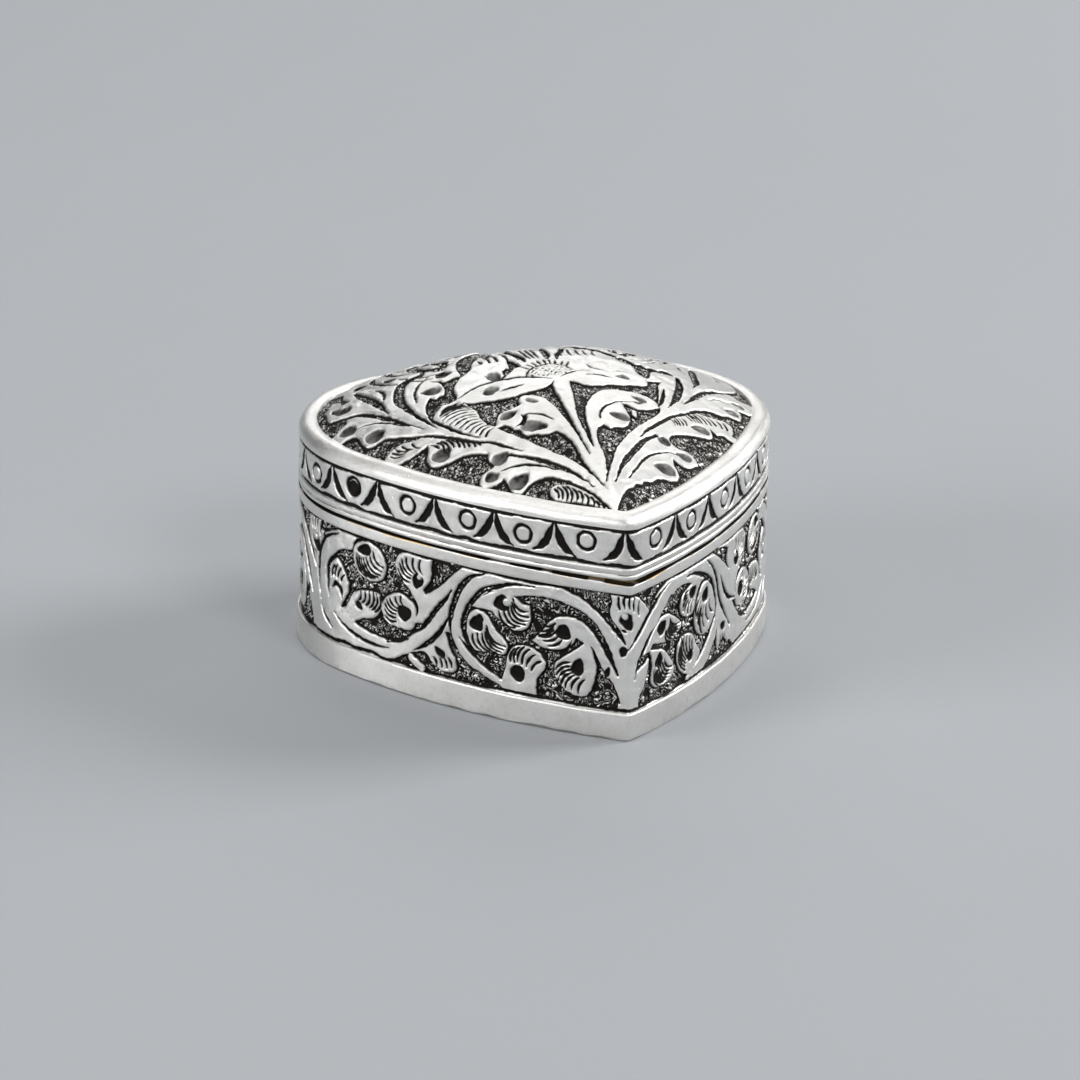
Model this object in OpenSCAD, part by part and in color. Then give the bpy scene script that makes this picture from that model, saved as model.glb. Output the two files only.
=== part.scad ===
// Heart-shaped hinged trinket box in chased silver sheet.
// X runs across the two lobes, the point of the heart faces -Y, the hinge is at the back (+Y), Z is up.
// The origin lies on the resting face, where the heart's axis crosses its widest line.

/* [Heart outline] */
// Overall width across the two lobes
box_w = 50; // [48:1:54]
// Distance from the widest line to the point of the heart
tip_len = 33.7; // [31:0.1:36]
// Radius of the long, slightly bowed flank on each side of the point
flank_r = 69.4; // [60:1:90]
// Radius of the shoulder, between the flank and the lobe
shoulder_r = 17.65; // [16:0.05:19]
// Radius of the lobe at the back
lobe_r = 12.5; // [12:0.1:13.5]
// Direction in which the shoulder passes into the lobe, in degrees from +X
lobe_turn = 50; // [45:1:55]
// Radius of the rounded cleft between the lobes
cleft_r = 1.5; // [1:0.1:2.5]

/* [Body] */
// Height of the plain strip around the foot
foot_h = 3; // [2:0.1:4]
// Distance by which the foot strip stands out from the wall
foot_proud = 0.27; // [0.15:0.01:0.5]
// Height of the top of the chased wall
wall_top = 15.6; // [14:0.1:18]
// Thickness of the wall sheet
wall_t = 0.9; // [0.7:0.05:1.2]
// Height of the plain band that finishes the wall
body_rim_h = 1.35; // [1:0.05:2]
// Thickness of the base sheet
base_t = 0.9; // [0.6:0.1:1.5]
// Thickness of the inner collar that locates the lid
bezel_t = 0.45; // [0.35:0.05:0.7]
// Height of the collar above the rim of the body
bezel_rise = 1.6; // [1:0.1:2.2]

/* [Lid] */
// Gap between the closed lid and the body
seam_gap = 0.1; // [0.05:0.01:0.2]
// Height of the plain strip along the lower edge of the lid
lid_rim_h = 1.3; // [1:0.1:2]
// Height of the punched band above it
band_h = 4.1; // [3:0.1:6]
// Thickness of the lid's side sheet
lid_t = 0.7; // [0.5:0.05:0.7]
// Radius of the rounded wire around the top
border_r = 1.3; // [1.1:0.05:1.5]
// Width of that wire, seen from above
border_w = 1.95; // [1.7:0.05:2.2]
// Rise of the domed panel above its edge
dome_rise = 6.9; // [4:0.1:8]
// Thickness of the domed panel
dome_t = 0.7; // [0.5:0.1:1]

/* [Hinge] */
// Length of the whole hinge
hinge_len = 22; // [18:1:26]
// Outer radius of a knuckle
knuckle_r = 1.15; // [1:0.05:1.3]
// Radius of the hinge pin
pin_r = 0.5; // [0.4:0.05:0.6]
// Radial running clearance of the pin in the lid's knuckles
pin_play = 0.04; // [0.02:0.01:0.08]
// Gap between neighbouring knuckles
knuckle_gap = 0.15; // [0.1:0.01:0.25]

/* [Hidden] */
$fn = 96;

silver = "#c9c7c2";
dark_silver = "#8e8c88";
gilt = "#d9b25a";
trim_proud = 0.06;      // plain strips stand this far out from the chased sheet
soldered_gap = 0.03;    // left around the faceted dome, so that it doesn't cut into its border

// Centres of the outline's arcs on the +X side
shoulder_c = [box_w / 2 - shoulder_r, 0];
lobe_c = shoulder_c + (shoulder_r - lobe_r) * [cos(lobe_turn), sin(lobe_turn)];
cleft_c = [0, lobe_c.y + sqrt((lobe_r + cleft_r) ^ 2 - lobe_c.x ^ 2)];
tip = [0, -tip_len];
// The flank's arc passes through the tip and touches the shoulder's arc from outside
tip_dist = norm(tip - shoulder_c);
to_tip = (tip - shoulder_c) / tip_dist;
centre_dist = flank_r - shoulder_r;
flank_along = (centre_dist ^ 2 - flank_r ^ 2 + tip_dist ^ 2) / (2 * tip_dist);
flank_across = sqrt(centre_dist ^ 2 - flank_along ^ 2);
flank_c = shoulder_c + flank_along * to_tip - flank_across * [-to_tip.y, to_tip.x];
// Directions in which one arc passes into the next
flank_turn = atan2(shoulder_c.y - flank_c.y, shoulder_c.x - flank_c.x);
cleft_turn = atan2(cleft_c.y - lobe_c.y, cleft_c.x - lobe_c.x);
back_y = lobe_c.y + lobe_r;

// Heights
rim_top = wall_top + body_rim_h;
lid_bottom = rim_top + seam_gap;
band_bottom = lid_bottom + lid_rim_h;
band_top = band_bottom + band_h;
border_z = band_top + 0.15;         // height of the centre of the border wire
panel_in = border_w - trim_proud;   // distance of the panel's edge from the outline
panel_z = border_z + sqrt(border_r ^ 2 - (border_w - border_r) ^ 2) - 0.3;
dome_y = 0;                         // where the dome is highest
dome_rings = 10;
arc_steps = 16;                     // straight steps in each arc of the outline
border_from = -6;                   // angles between which the border's section is round
border_to = acos((border_r - border_w) / border_r);
border_steps = 9;

// Hinge
knuckles = 5;                       // numbered from 0; the even ones are on the body
seat_y = back_y + 0.4;              // back face of the seats that carry the knuckles
seat_front = back_y - 1.6;
hinge_y = seat_y + knuckle_r + 0.25;
hinge_z = rim_top + seam_gap / 2;
knuckle_len = (hinge_len - (knuckles - 1) * knuckle_gap) / knuckles;
web_h = 0.7;
web_low = 0.35;                     // height of a web's near face above or below the axis
peen_r = 0.75;
peen_t = 0.35;

// ---- outline ---------------------------------------------------------------

function arc_points(centre, radius, from, to) =
    [for (i = [0 : arc_steps - 1]) let (a = from + (to - from) * i / arc_steps)
        centre + radius * [cos(a), sin(a)]];

// Direction of the point where the flank's arc, moved in by inset, meets the axis
function inset_tip_turn(inset) =
    let (r = flank_r - inset) atan2(-sqrt(r ^ 2 - flank_c.x ^ 2), -flank_c.x);

// The +X half of the outline moved in by inset, from the tip round to the cleft
function half_points(inset) = concat(
    arc_points(flank_c, flank_r - inset, inset_tip_turn(inset), flank_turn),
    arc_points(shoulder_c, shoulder_r - inset, flank_turn, lobe_turn),
    arc_points(lobe_c, lobe_r - inset, lobe_turn, cleft_turn),
    arc_points(cleft_c, cleft_r + inset, cleft_turn - 180, -90),
    [cleft_c - [0, cleft_r + inset]]);

// The other half runs back to the tip, without repeating the two points on the axis
function heart_points(inset) =
    let (h = half_points(inset), n = len(h))
    concat(h, [for (i = [n - 2 : -1 : 1]) [-h[i].x, h[i].y]]);

module heart(inset) {
    polygon(heart_points(inset));
}

// A ring of rectangular section, from outside the outline to inside it
module band(outside, inside, z0, z1) {
    translate([0, 0, z0])
        linear_extrude(z1 - z0)
            difference() {
                heart(-outside);
                heart(inside);
            }
}

// ---- skins between rings of points -----------------------------------------

// Triangles between ring k and ring k + 1, of n points each, counted from point number base
function strip(base, n, k) =
    [for (i = [0 : n - 1]) let (a = base + k * n, b = a + n, j = (i + 1) % n)
        each [[a + i, b + i, b + j], [a + i, b + j, a + j]]];

// Triangles that join the last ring back to the first
function closing(n, rings) =
    [for (i = [0 : n - 1]) let (a = (rings - 1) * n, j = (i + 1) % n)
        each [[a + i, i, j], [a + i, j, a + j]]];

// A closed wire around the outline; its section is a list of [distance in, height]
module swept_wire(section) {
    rings = [for (s = section) [for (p = heart_points(s[0])) [p.x, p.y, s[1]]]];
    n = len(rings[0]);
    polyhedron([for (r = rings) each r],
               concat([for (k = [0 : len(rings) - 2]) each strip(0, n, k)],
                      closing(n, len(rings))));
}

// ---- body ------------------------------------------------------------------

module base_plate() {
    color(silver)
        linear_extrude(base_t) heart(wall_t);
}

module foot_rim() {
    color(silver)
        band(foot_proud, 0, 0, foot_h);
}

module body_wall() {
    color(dark_silver)
        band(0, wall_t, 0, wall_top);
}

module body_rim() {
    color(silver)
        band(trim_proud, wall_t, wall_top, rim_top);
}

module bezel() {
    color(gilt)
        band(-wall_t, wall_t + bezel_t, rim_top - 3, rim_top + bezel_rise);
}

// ---- lid -------------------------------------------------------------------

module lid_rim() {
    color(silver)
        band(trim_proud, lid_t, lid_bottom, band_bottom);
}

module lid_band() {
    color(dark_silver)
        band(0, lid_t, band_bottom, band_top);
}

module lid_border() {
    // Section: up the outer face, over the rounded top and down the face towards the panel
    over = [for (i = [0 : border_steps])
        let (a = border_from + (border_to - border_from) * i / border_steps)
            [border_r - trim_proud - border_r * cos(a), border_z + border_r * sin(a)]];
    color(silver)
        swept_wire(concat([[-trim_proud, band_top]], over, [[panel_in, band_top]]));
}

// A ring of the dome: scale runs from 1 at the edge to 0 at the crown
function dome_ring(edge, scale, drop) =
    [for (p = edge) [p.x * scale, dome_y + (p.y - dome_y) * scale,
                     panel_z - drop + dome_rise * (1 - scale ^ 2)]];

module lid_dome() {
    edge = heart_points(panel_in + soldered_gap);
    n = len(edge);
    last = dome_rings - 1;
    upper = [for (k = [0 : last]) dome_ring(edge, 1 - k / dome_rings, 0)];
    lower = [for (k = [last : -1 : 0]) dome_ring(edge, 1 - k / dome_rings, dome_t)];
    crown = dome_rings * n;
    under = crown + 1;
    base = crown + 2;
    points = concat([for (r = upper) each r],
                    [[0, dome_y, panel_z + dome_rise], [0, dome_y, panel_z + dome_rise - dome_t]],
                    [for (r = lower) each r]);
    color(dark_silver)
        polyhedron(points, concat(
            [for (k = [0 : last - 1]) each strip(0, n, k)],
            [for (i = [0 : n - 1]) [crown - n + i, crown, crown - n + (i + 1) % n]],
            [for (i = [0 : n - 1]) [under, base + i, base + (i + 1) % n]],
            [for (k = [0 : last - 1]) each strip(base, n, k)],
            [for (i = [0 : n - 1]) let (a = base + last * n, j = (i + 1) % n)
                each [[a + i, i, j], [a + i, j, a + j]]]));
}

// ---- hinge -----------------------------------------------------------------

// Bar across the two lobes, cut to their curve, that carries the knuckles of one side
module hinge_seat(z0, z1) {
    difference() {
        translate([-hinge_len / 2, seat_front, z0])
            cube([hinge_len, seat_y - seat_front, z1 - z0]);
        translate([0, 0, z0 - 1])
            linear_extrude(z1 - z0 + 2) heart(-trim_proud);
    }
}

// Knuckle number i of the row, with the web that joins it to its seat
module knuckle(i, bore_r, web_z) {
    translate([-hinge_len / 2 + i * (knuckle_len + knuckle_gap), hinge_y, hinge_z])
        difference() {
            union() {
                rotate([0, 90, 0]) cylinder(h = knuckle_len, r = knuckle_r);
                translate([0, seat_y - hinge_y, web_z])
                    cube([knuckle_len, hinge_y - seat_y, web_h]);
            }
            translate([-1, 0, 0])
                rotate([0, 90, 0]) cylinder(h = knuckle_len + 2, r = bore_r);
        }
}

module body_knuckle(i) {
    color(silver) knuckle(i, pin_r, -web_low - web_h);
}

module lid_knuckle(i) {
    color(silver) knuckle(i, pin_r + pin_play, web_low);
}

module body_hinge_seat() {
    color(silver) hinge_seat(rim_top - 2.2, rim_top - 0.05);
}

module lid_hinge_seat() {
    color(silver) hinge_seat(lid_bottom + 0.05, lid_bottom + 2.2);
}

module body_knuckle_left() {
    body_knuckle(0);
}

module body_knuckle_middle() {
    body_knuckle(2);
}

module body_knuckle_right() {
    body_knuckle(4);
}

module lid_knuckle_left() {
    lid_knuckle(1);
}

module lid_knuckle_right() {
    lid_knuckle(3);
}

module hinge_pin() {
    color(dark_silver)
        translate([-hinge_len / 2, hinge_y, hinge_z])
            rotate([0, 90, 0]) {
                cylinder(h = hinge_len, r = pin_r);
                translate([0, 0, -peen_t]) cylinder(h = peen_t, r = peen_r);
                translate([0, 0, hinge_len]) cylinder(h = peen_t, r = peen_r);
            }
}

base_plate();
foot_rim();
body_wall();
body_rim();
bezel();
body_hinge_seat();
body_knuckle_left();
body_knuckle_middle();
body_knuckle_right();
hinge_pin();
lid_rim();
lid_band();
lid_border();
lid_dome();
lid_hinge_seat();
lid_knuckle_left();
lid_knuckle_right();
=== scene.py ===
"""Heart-shaped trinket box in chased silver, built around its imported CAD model.

Lengths are in mm until a mesh is made. The chased sheets are carved flat, as a height in mm and a patina,
and then laid on the box: the frieze and the punched band by distance s round the outline, which is 0 at the
point of the heart, and the lid's panel straight down on its dome.
"""
import math

import bpy
import numpy as np
from mathutils import Matrix, Vector


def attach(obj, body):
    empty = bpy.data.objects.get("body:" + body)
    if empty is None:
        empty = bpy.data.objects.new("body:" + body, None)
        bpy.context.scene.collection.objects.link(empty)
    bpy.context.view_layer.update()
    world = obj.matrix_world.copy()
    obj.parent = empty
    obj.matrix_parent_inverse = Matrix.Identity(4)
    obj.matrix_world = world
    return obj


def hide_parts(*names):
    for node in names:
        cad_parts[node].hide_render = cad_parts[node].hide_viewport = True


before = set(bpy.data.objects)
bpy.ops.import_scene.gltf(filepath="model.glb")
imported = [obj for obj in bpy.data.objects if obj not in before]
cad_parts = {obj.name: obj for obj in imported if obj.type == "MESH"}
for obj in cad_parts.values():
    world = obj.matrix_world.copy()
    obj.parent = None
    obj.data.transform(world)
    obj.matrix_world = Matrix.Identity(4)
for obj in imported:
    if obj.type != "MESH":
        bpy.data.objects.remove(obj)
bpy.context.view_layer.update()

MM = 0.001

# ---- driving dimensions, as in the CAD model ----------------------------------

BOX_W = 50.0
TIP_LEN = 33.7
FLANK_R = 69.4
SHOULDER_R = 17.65
LOBE_R = 12.5
LOBE_TURN = math.radians(50)
CLEFT_R = 1.5

FOOT_H = 3.0
FOOT_PROUD = 0.26
WALL_TOP = 15.6
WALL_T = 0.9
RIM_TOP = 16.95
BEZEL_T = 0.45
BEZEL_DROP = 3.0
BEZEL_RISE = 1.6
LID_BOTTOM = 17.05
BAND_BOTTOM = 18.35
BAND_TOP = 22.45
LID_T = 0.7
BORDER_R = 1.3
BORDER_W = 1.95
BORDER_Z = BAND_TOP + 0.15
TRIM_PROUD = 0.06
DOME_Y = 0.0
DOME_RISE = 6.9
DOME_T = 0.7
PANEL_IN = BORDER_W - TRIM_PROUD
PANEL_Z = BORDER_Z + math.sqrt(BORDER_R ** 2 - (BORDER_W - BORDER_R) ** 2) - 0.3

LEAF_RISE = 0.3       # the foliage stands this far above the panel's edge
BODY_TIP_R = 0.6      # rounding of the box's point
LID_TIP_R = 1.5       # the lid's point is blunter
SCORE_Z = 17.62       # a scored line on the lid's lower strip
GRID = 0.08           # spacing of the points of a chased mesh
PLAIN_GRID = 0.25     # and of a plain strip

SHOULDER_C = np.array([BOX_W / 2 - SHOULDER_R, 0.0])
LOBE_C = SHOULDER_C + (SHOULDER_R - LOBE_R) * np.array([math.cos(LOBE_TURN), math.sin(LOBE_TURN)])
CLEFT_C = np.array([0.0, LOBE_C[1] + math.sqrt((LOBE_R + CLEFT_R) ** 2 - LOBE_C[0] ** 2)])


def flank_centre():
    """Centre of the +X flank's arc, which ends at the point and is tangent to the shoulder."""
    tip = np.array([0.0, -TIP_LEN])
    to_tip = tip - SHOULDER_C
    far = np.hypot(*to_tip)
    to_tip = to_tip / far
    gap = FLANK_R - SHOULDER_R
    along = (gap ** 2 - FLANK_R ** 2 + far ** 2) / (2 * far)
    across = math.sqrt(gap ** 2 - along ** 2)
    return SHOULDER_C + along * to_tip - across * np.array([-to_tip[1], to_tip[0]])


FLANK_C = flank_centre()
FLANK_TURN = math.atan2(SHOULDER_C[1] - FLANK_C[1], SHOULDER_C[0] - FLANK_C[0])
CLEFT_TURN = math.atan2(CLEFT_C[1] - LOBE_C[1], CLEFT_C[0] - LOBE_C[0])


# ---- the outline ----------------------------------------------------------------

def half_arcs(inset, tip_r):
    """The +X half of the outline, moved in by inset, as arcs: (centre, radius, first angle, last, side)."""
    flank_r = FLANK_R - inset
    tip_y = FLANK_C[1] - math.sqrt((flank_r - tip_r) ** 2 - FLANK_C[0] ** 2)
    tip_turn = math.atan2(tip_y - FLANK_C[1], -FLANK_C[0])
    return [(np.array([0.0, tip_y]), tip_r, -math.pi / 2, tip_turn, 1),
            (FLANK_C, flank_r, tip_turn, FLANK_TURN, 1),
            (SHOULDER_C, SHOULDER_R - inset, FLANK_TURN, LOBE_TURN, 1),
            (LOBE_C, LOBE_R - inset, LOBE_TURN, CLEFT_TURN, 1),
            (CLEFT_C, CLEFT_R + inset, CLEFT_TURN - math.pi, -math.pi / 2, -1)]


ARC_SPACING = (1, 1, 1.1, 1.6, 1)     # point, flank, shoulder, lobe, cleft, as shares of the pitch


class Outline:
    """Columns of points all round the box, at the same places whatever the inset."""

    def __init__(self, tip_r, pitch):
        self.tip_r = tip_r
        lengths = [abs(r * (b - a)) for _, r, a, b, _ in half_arcs(0.0, tip_r)]
        self.counts = [max(int(round(n / (pitch * c))), 4) for n, c in zip(lengths, ARC_SPACING)]
        starts = np.concatenate([[0.0], np.cumsum(lengths)])
        s = np.concatenate([starts[i] + lengths[i] * np.arange(n) / n for i, n in enumerate(self.counts)])
        self.half = starts[-1]
        half = np.append(s, self.half)
        self.s = np.concatenate([-half[:0:-1], half[:-1]])

    def ring(self, inset):
        """Points and outward normals, counterclockwise from the cleft."""
        tip_r = max(self.tip_r - inset, 0.12)
        points, normals = [], []
        for (centre, radius, first, last, side), n in zip(half_arcs(inset, tip_r), self.counts):
            angle = first + (last - first) * np.arange(n) / n
            out = np.column_stack([np.cos(angle), np.sin(angle)])
            points.append(centre + radius * out)
            normals.append(side * out)
        points.append([CLEFT_C - [0, CLEFT_R + inset]])
        normals.append([[0.0, 1.0]])
        p, n = np.vstack(points), np.vstack(normals)
        mirror = np.array([-1.0, 1.0])
        return np.vstack([p[:0:-1] * mirror, p[:-1]]), np.vstack([n[:0:-1] * mirror, n[:-1]])


# ---- carving a flat sheet -------------------------------------------------------

def ramp(low, high, x):
    """A smooth step from 0 at low to 1 at high."""
    t = np.clip((x - low) / (high - low), 0.0, 1.0)
    return t * t * (3.0 - 2.0 * t)


def grain(shape, step, wavelength, seed, spread=0.35):
    """Noise of about one wavelength, in mm, that runs on from each edge of the sheet to the opposite one."""
    rng = np.random.default_rng(seed)
    white = np.fft.rfft2(rng.standard_normal(shape))
    fy = np.fft.fftfreq(shape[0], step)[:, None]
    fx = np.fft.rfftfreq(shape[1], step)[None, :]
    octaves = np.log(np.hypot(fx, fy) * wavelength + 1e-9)
    out = np.fft.irfft2(white * np.exp(-(octaves / spread) ** 2), shape)
    return out / out.std()


def blur(field, step, radius):
    """Gaussian blur of that radius in mm."""
    fy = np.fft.fftfreq(field.shape[0], step)[:, None]
    fx = np.fft.rfftfreq(field.shape[1], step)[None, :]
    soft = np.exp(-2 * (math.pi * radius) ** 2 * (fx ** 2 + fy ** 2))
    return np.fft.irfft2(np.fft.rfft2(field) * soft, field.shape)


def curve(points, closed=False, steps=6):
    """A smooth curve through given points, with a corner wherever it turns sharply."""
    p = np.asarray(points, float)
    if closed:
        before, after = np.roll(p, 1, axis=0), np.roll(p, -1, axis=0)
    else:
        before = np.vstack([2 * p[0] - p[1], p[:-1]])
        after = np.vstack([p[1:], 2 * p[-1] - p[-2]])
    into, out = p - before, after - p
    cosine = (into * out).sum(1) / (np.hypot(*into.T) * np.hypot(*out.T) + 1e-9)
    slope = 0.5 * (after - before) * (cosine > 0.2)[:, None]
    last = len(p) if closed else len(p) - 1
    t = (np.arange(steps) / steps)[:, None]
    spans = []
    for i in range(last):
        a, b, m, n = p[i], p[(i + 1) % len(p)], slope[i], slope[(i + 1) % len(p)]
        spans.append((2 * t ** 3 - 3 * t ** 2 + 1) * a + (t ** 3 - 2 * t ** 2 + t) * m
                     + (3 * t ** 2 - 2 * t ** 3) * b + (t ** 3 - t ** 2) * n)
    if not closed:
        spans.append(p[-1:])
    return np.vstack(spans)


def inside_grid(xs, ys, outline):
    """Which points of the grid of xs and ys lie inside a closed outline."""
    inside = np.zeros((len(ys), len(xs)), bool)
    for a, b in zip(outline, np.roll(outline, -1, axis=0)):
        if a[1] == b[1]:
            continue
        rows = (ys >= min(a[1], b[1])) & (ys < max(a[1], b[1]))
        cross = a[0] + (ys[rows] - a[1]) * (b[0] - a[0]) / (b[1] - a[1])
        inside[rows] ^= xs[None, :] < cross[:, None]
    return inside


class Sheet:
    """A sheet of silver laid out flat, with what is carved in it."""

    STEP = 0.05
    REACH = 0.5

    def __init__(self, u0, u1, v0, v1, seed):
        self.origin = np.array([u0, v0])
        self.shape = (int(round((v1 - v0) / self.STEP)) + 1, int(round((u1 - u0) / self.STEP)) + 1)
        self.ground = np.zeros(self.shape)      # cut down to the matted ground
        self.cuts = np.zeros(self.shape)        # lines cut with a graver
        self.hollows = np.zeros(self.shape)     # hollows struck with a punch
        self.stain = np.zeros(self.shape)       # the tarnish left in them
        self.seed = seed
        self.waver = 0.022 * grain(self.shape, self.STEP, 0.9, seed)
        self.place()

    def place(self, shift=0.0, flip=1):
        """Where the next marks go: moved along the sheet, and mirrored if flip is -1."""
        self.shift = shift
        self.flip = flip

    def put(self, points):
        p = np.asarray(points, float).reshape(-1, 2)
        return np.column_stack([self.shift + self.flip * p[:, 0], p[:, 1]])

    def window(self, low, high):
        limit = np.array(self.shape)[::-1]
        a = np.clip(np.floor((low - self.origin) / self.STEP).astype(int), 0, limit)
        b = np.clip(np.ceil((high - self.origin) / self.STEP).astype(int) + 1, 0, limit)
        return slice(a[1], b[1]), slice(a[0], b[0])

    def coordinates(self, win):
        v = self.origin[1] + self.STEP * np.arange(win[0].start, win[0].stop)
        u = self.origin[0] + self.STEP * np.arange(win[1].start, win[1].stop)
        return u, v

    def distance(self, p, half):
        """Distance from a line of points, less its half width at each, in a window around it."""
        pad = half.max() + self.REACH
        win = self.window(p.min(0) - pad, p.max(0) + pad)
        u, v = self.coordinates(win)
        dist = np.full((len(v), len(u)), self.REACH)
        for a, b, ha, hb in zip(p[:-1], p[1:], half[:-1], half[1:]):
            length = np.hypot(*(b - a))
            reach = max(ha, hb) + self.REACH
            rows, cols = self.window(np.minimum(a, b) - reach, np.maximum(a, b) + reach)
            r = slice(max(rows.start - win[0].start, 0), max(rows.stop - win[0].start, 0))
            c = slice(max(cols.start - win[1].start, 0), max(cols.stop - win[1].start, 0))
            if length < 1e-6 or dist[r, c].size == 0:
                continue
            x, y = u[None, c] - a[0], v[r, None] - a[1]
            du, dv = (b - a) / length
            t = np.clip((x * du + y * dv) / length, 0, 1)
            away = np.hypot(x - t * length * du, y - t * length * dv) - (ha + (hb - ha) * t)
            dist[r, c] = np.minimum(dist[r, c], away)
        return win, dist + self.waver[win]

    def inside(self, p):
        """Distance from a closed outline, negative inside it."""
        ring = np.vstack([p, p[:1]])
        win, dist = self.distance(ring, np.zeros(len(ring)))
        dist = dist - self.waver[win]
        u, v = self.coordinates(win)
        return win, np.where(inside_grid(u, v, p), -dist, dist) + self.waver[win]

    def sink(self, *points):
        """Cuts an area down to the matted ground."""
        win, d = self.inside(curve(self.put(points), closed=True))
        self.ground[win] = np.maximum(self.ground[win], ramp(0.10, -0.12, d))

    def leaf(self, *points):
        """Leaves a leaf standing in a sunk area."""
        win, d = self.inside(curve(self.put(points), closed=True))
        self.ground[win] *= ramp(-0.12, 0.10, d)

    def channel(self, width, *points, ends=(0.15, 0.15)):
        """A line cut down to the ground, tapering to its ends."""
        p = curve(self.put(points))
        t = np.linspace(0, 1, len(p))
        opening = ends[0] + (1 - ends[0]) * ramp(0, 0.35, t)
        closing = ends[1] + (1 - ends[1]) * ramp(1, 0.65, t)
        win, d = self.distance(p, 0.5 * width * np.minimum(opening, closing))
        self.ground[win] = np.maximum(self.ground[win], ramp(0.10, -0.10, d))

    def stem(self, width, *points):
        """A stem left standing."""
        p = curve(self.put(points))
        win, d = self.distance(p, np.full(len(p), 0.5 * width))
        self.ground[win] *= ramp(-0.12, 0.10, d)

    def cut(self, width, *points):
        """A line cut with a graver, tapering to both ends."""
        p = curve(self.put(points))
        t = np.linspace(0, 1, len(p))
        half = 0.5 * width * (0.25 + 0.75 * np.sin(math.pi * t) ** 0.7)
        win, d = self.distance(p, half)
        self.cuts[win] = np.maximum(self.cuts[win], ramp(0.07, -0.05, d))

    def fan(self, count, first, last, bow=0.0, width=0.3):
        """Curved cuts side by side, from the curve first to the curve last."""
        a = curve(self.put(first), steps=24)
        b = curve(self.put(last), steps=24)
        for i in range(count):
            t = (i + 0.5) / count
            p, q = a[int(t * (len(a) - 1))], b[int(t * (len(b) - 1))]
            bend = 0.5 * (p + q) + 2 * self.flip * bow * np.array([-(q - p)[1], (q - p)[0]])
            s = np.linspace(0, 1, 12)[:, None]
            shape = (1 - s) ** 2 * p + 2 * s * (1 - s) * bend + s ** 2 * q
            half = 0.5 * width * (0.5 + 0.5 * np.sin(math.pi * s[:, 0] ** 0.8))
            win, d = self.distance(shape, half)
            self.cuts[win] = np.maximum(self.cuts[win], ramp(0.06, -0.05, d))

    def eye(self, u, v, w, h, angle=0.0, point=0.35, bright=0.0):
        """A hollow struck with a teardrop punch, pointed towards angle. bright leaves a bead in it."""
        turn = np.linspace(0, 2 * math.pi, 28, endpoint=False)
        x = 0.5 * w * np.cos(turn)
        y = 0.5 * h * np.sin(turn) * (1 - point * np.cos(turn))
        c, s = math.cos(math.radians(angle)), math.sin(math.radians(angle))
        p = self.put(np.column_stack([u + x * c - y * s, v + x * s + y * c]))
        win, d = self.inside(p)
        bowl = ramp(0.08, -0.25, d)
        uu, vv = self.coordinates(win)
        along = ((uu[None, :] - self.shift) * self.flip - u) * c + (vv[:, None] - v) * s
        stain = ramp(0.07, -0.06, d) * (0.82 + 0.18 * ramp(-0.4 * w, 0.3 * w, along))
        if bright:
            centre = self.put([(u - 0.32 * w * c, v - 0.32 * w * s)])[0]
            away = np.hypot(uu[None, :] - centre[0], vv[:, None] - centre[1])
            bead = ramp(bright - 0.1, bright + 0.12, away)
            bowl, stain = bowl * bead, stain * bead
        self.hollows[win] = np.maximum(self.hollows[win], bowl)
        self.stain[win] = np.maximum(self.stain[win], stain)

    def ring(self, u, v, radius, width):
        """A ring struck with a round punch."""
        centre = self.put([(u, v)])[0]
        pad = radius + width
        win = self.window(centre - pad, centre + pad)
        uu, vv = self.coordinates(win)
        away = np.hypot(uu[None, :] - centre[0], vv[:, None] - centre[1]) + self.waver[win]
        mark = ramp(0.5 * width + 0.06, 0.5 * width - 0.06, np.abs(away - radius))
        self.cuts[win] = np.maximum(self.cuts[win], mark)

    def stipple(self, *points):
        """Fine dots over an area."""
        win, d = self.inside(curve(self.put(points), closed=True))
        dots = grain(self.shape, self.STEP, 0.5, self.seed + 9)[win]
        mark = ramp(0.5, 1.0, dots) * ramp(0.05, -0.1, d)
        self.cuts[win] = np.maximum(self.cuts[win], mark)

    def combs(self, pitch, patch):
        """Strokes of a matting punch: small patches of parallel strokes, each patch turned its own way."""
        u, v = self.coordinates((slice(0, self.shape[0]), slice(0, self.shape[1])))
        warp = 0.25 * grain(self.shape, self.STEP, patch, self.seed + 4)
        fields = [grain(self.shape, self.STEP, patch, self.seed + 5 + k) for k in range(3)]
        strokes = np.zeros(self.shape)
        for k, angle in enumerate((0.3, 1.5, 2.6)):
            others = np.maximum(fields[(k + 1) % 3], fields[(k + 2) % 3])
            across = (u[None, :] * math.cos(angle) + v[:, None] * math.sin(angle) + warp) / pitch
            stroke = ramp(0.1, 0.7, np.cos(2 * math.pi * across)) * ramp(0.05, 0.5, fields[k] - others)
            strokes = np.maximum(strokes, stroke)
        return strokes

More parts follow.
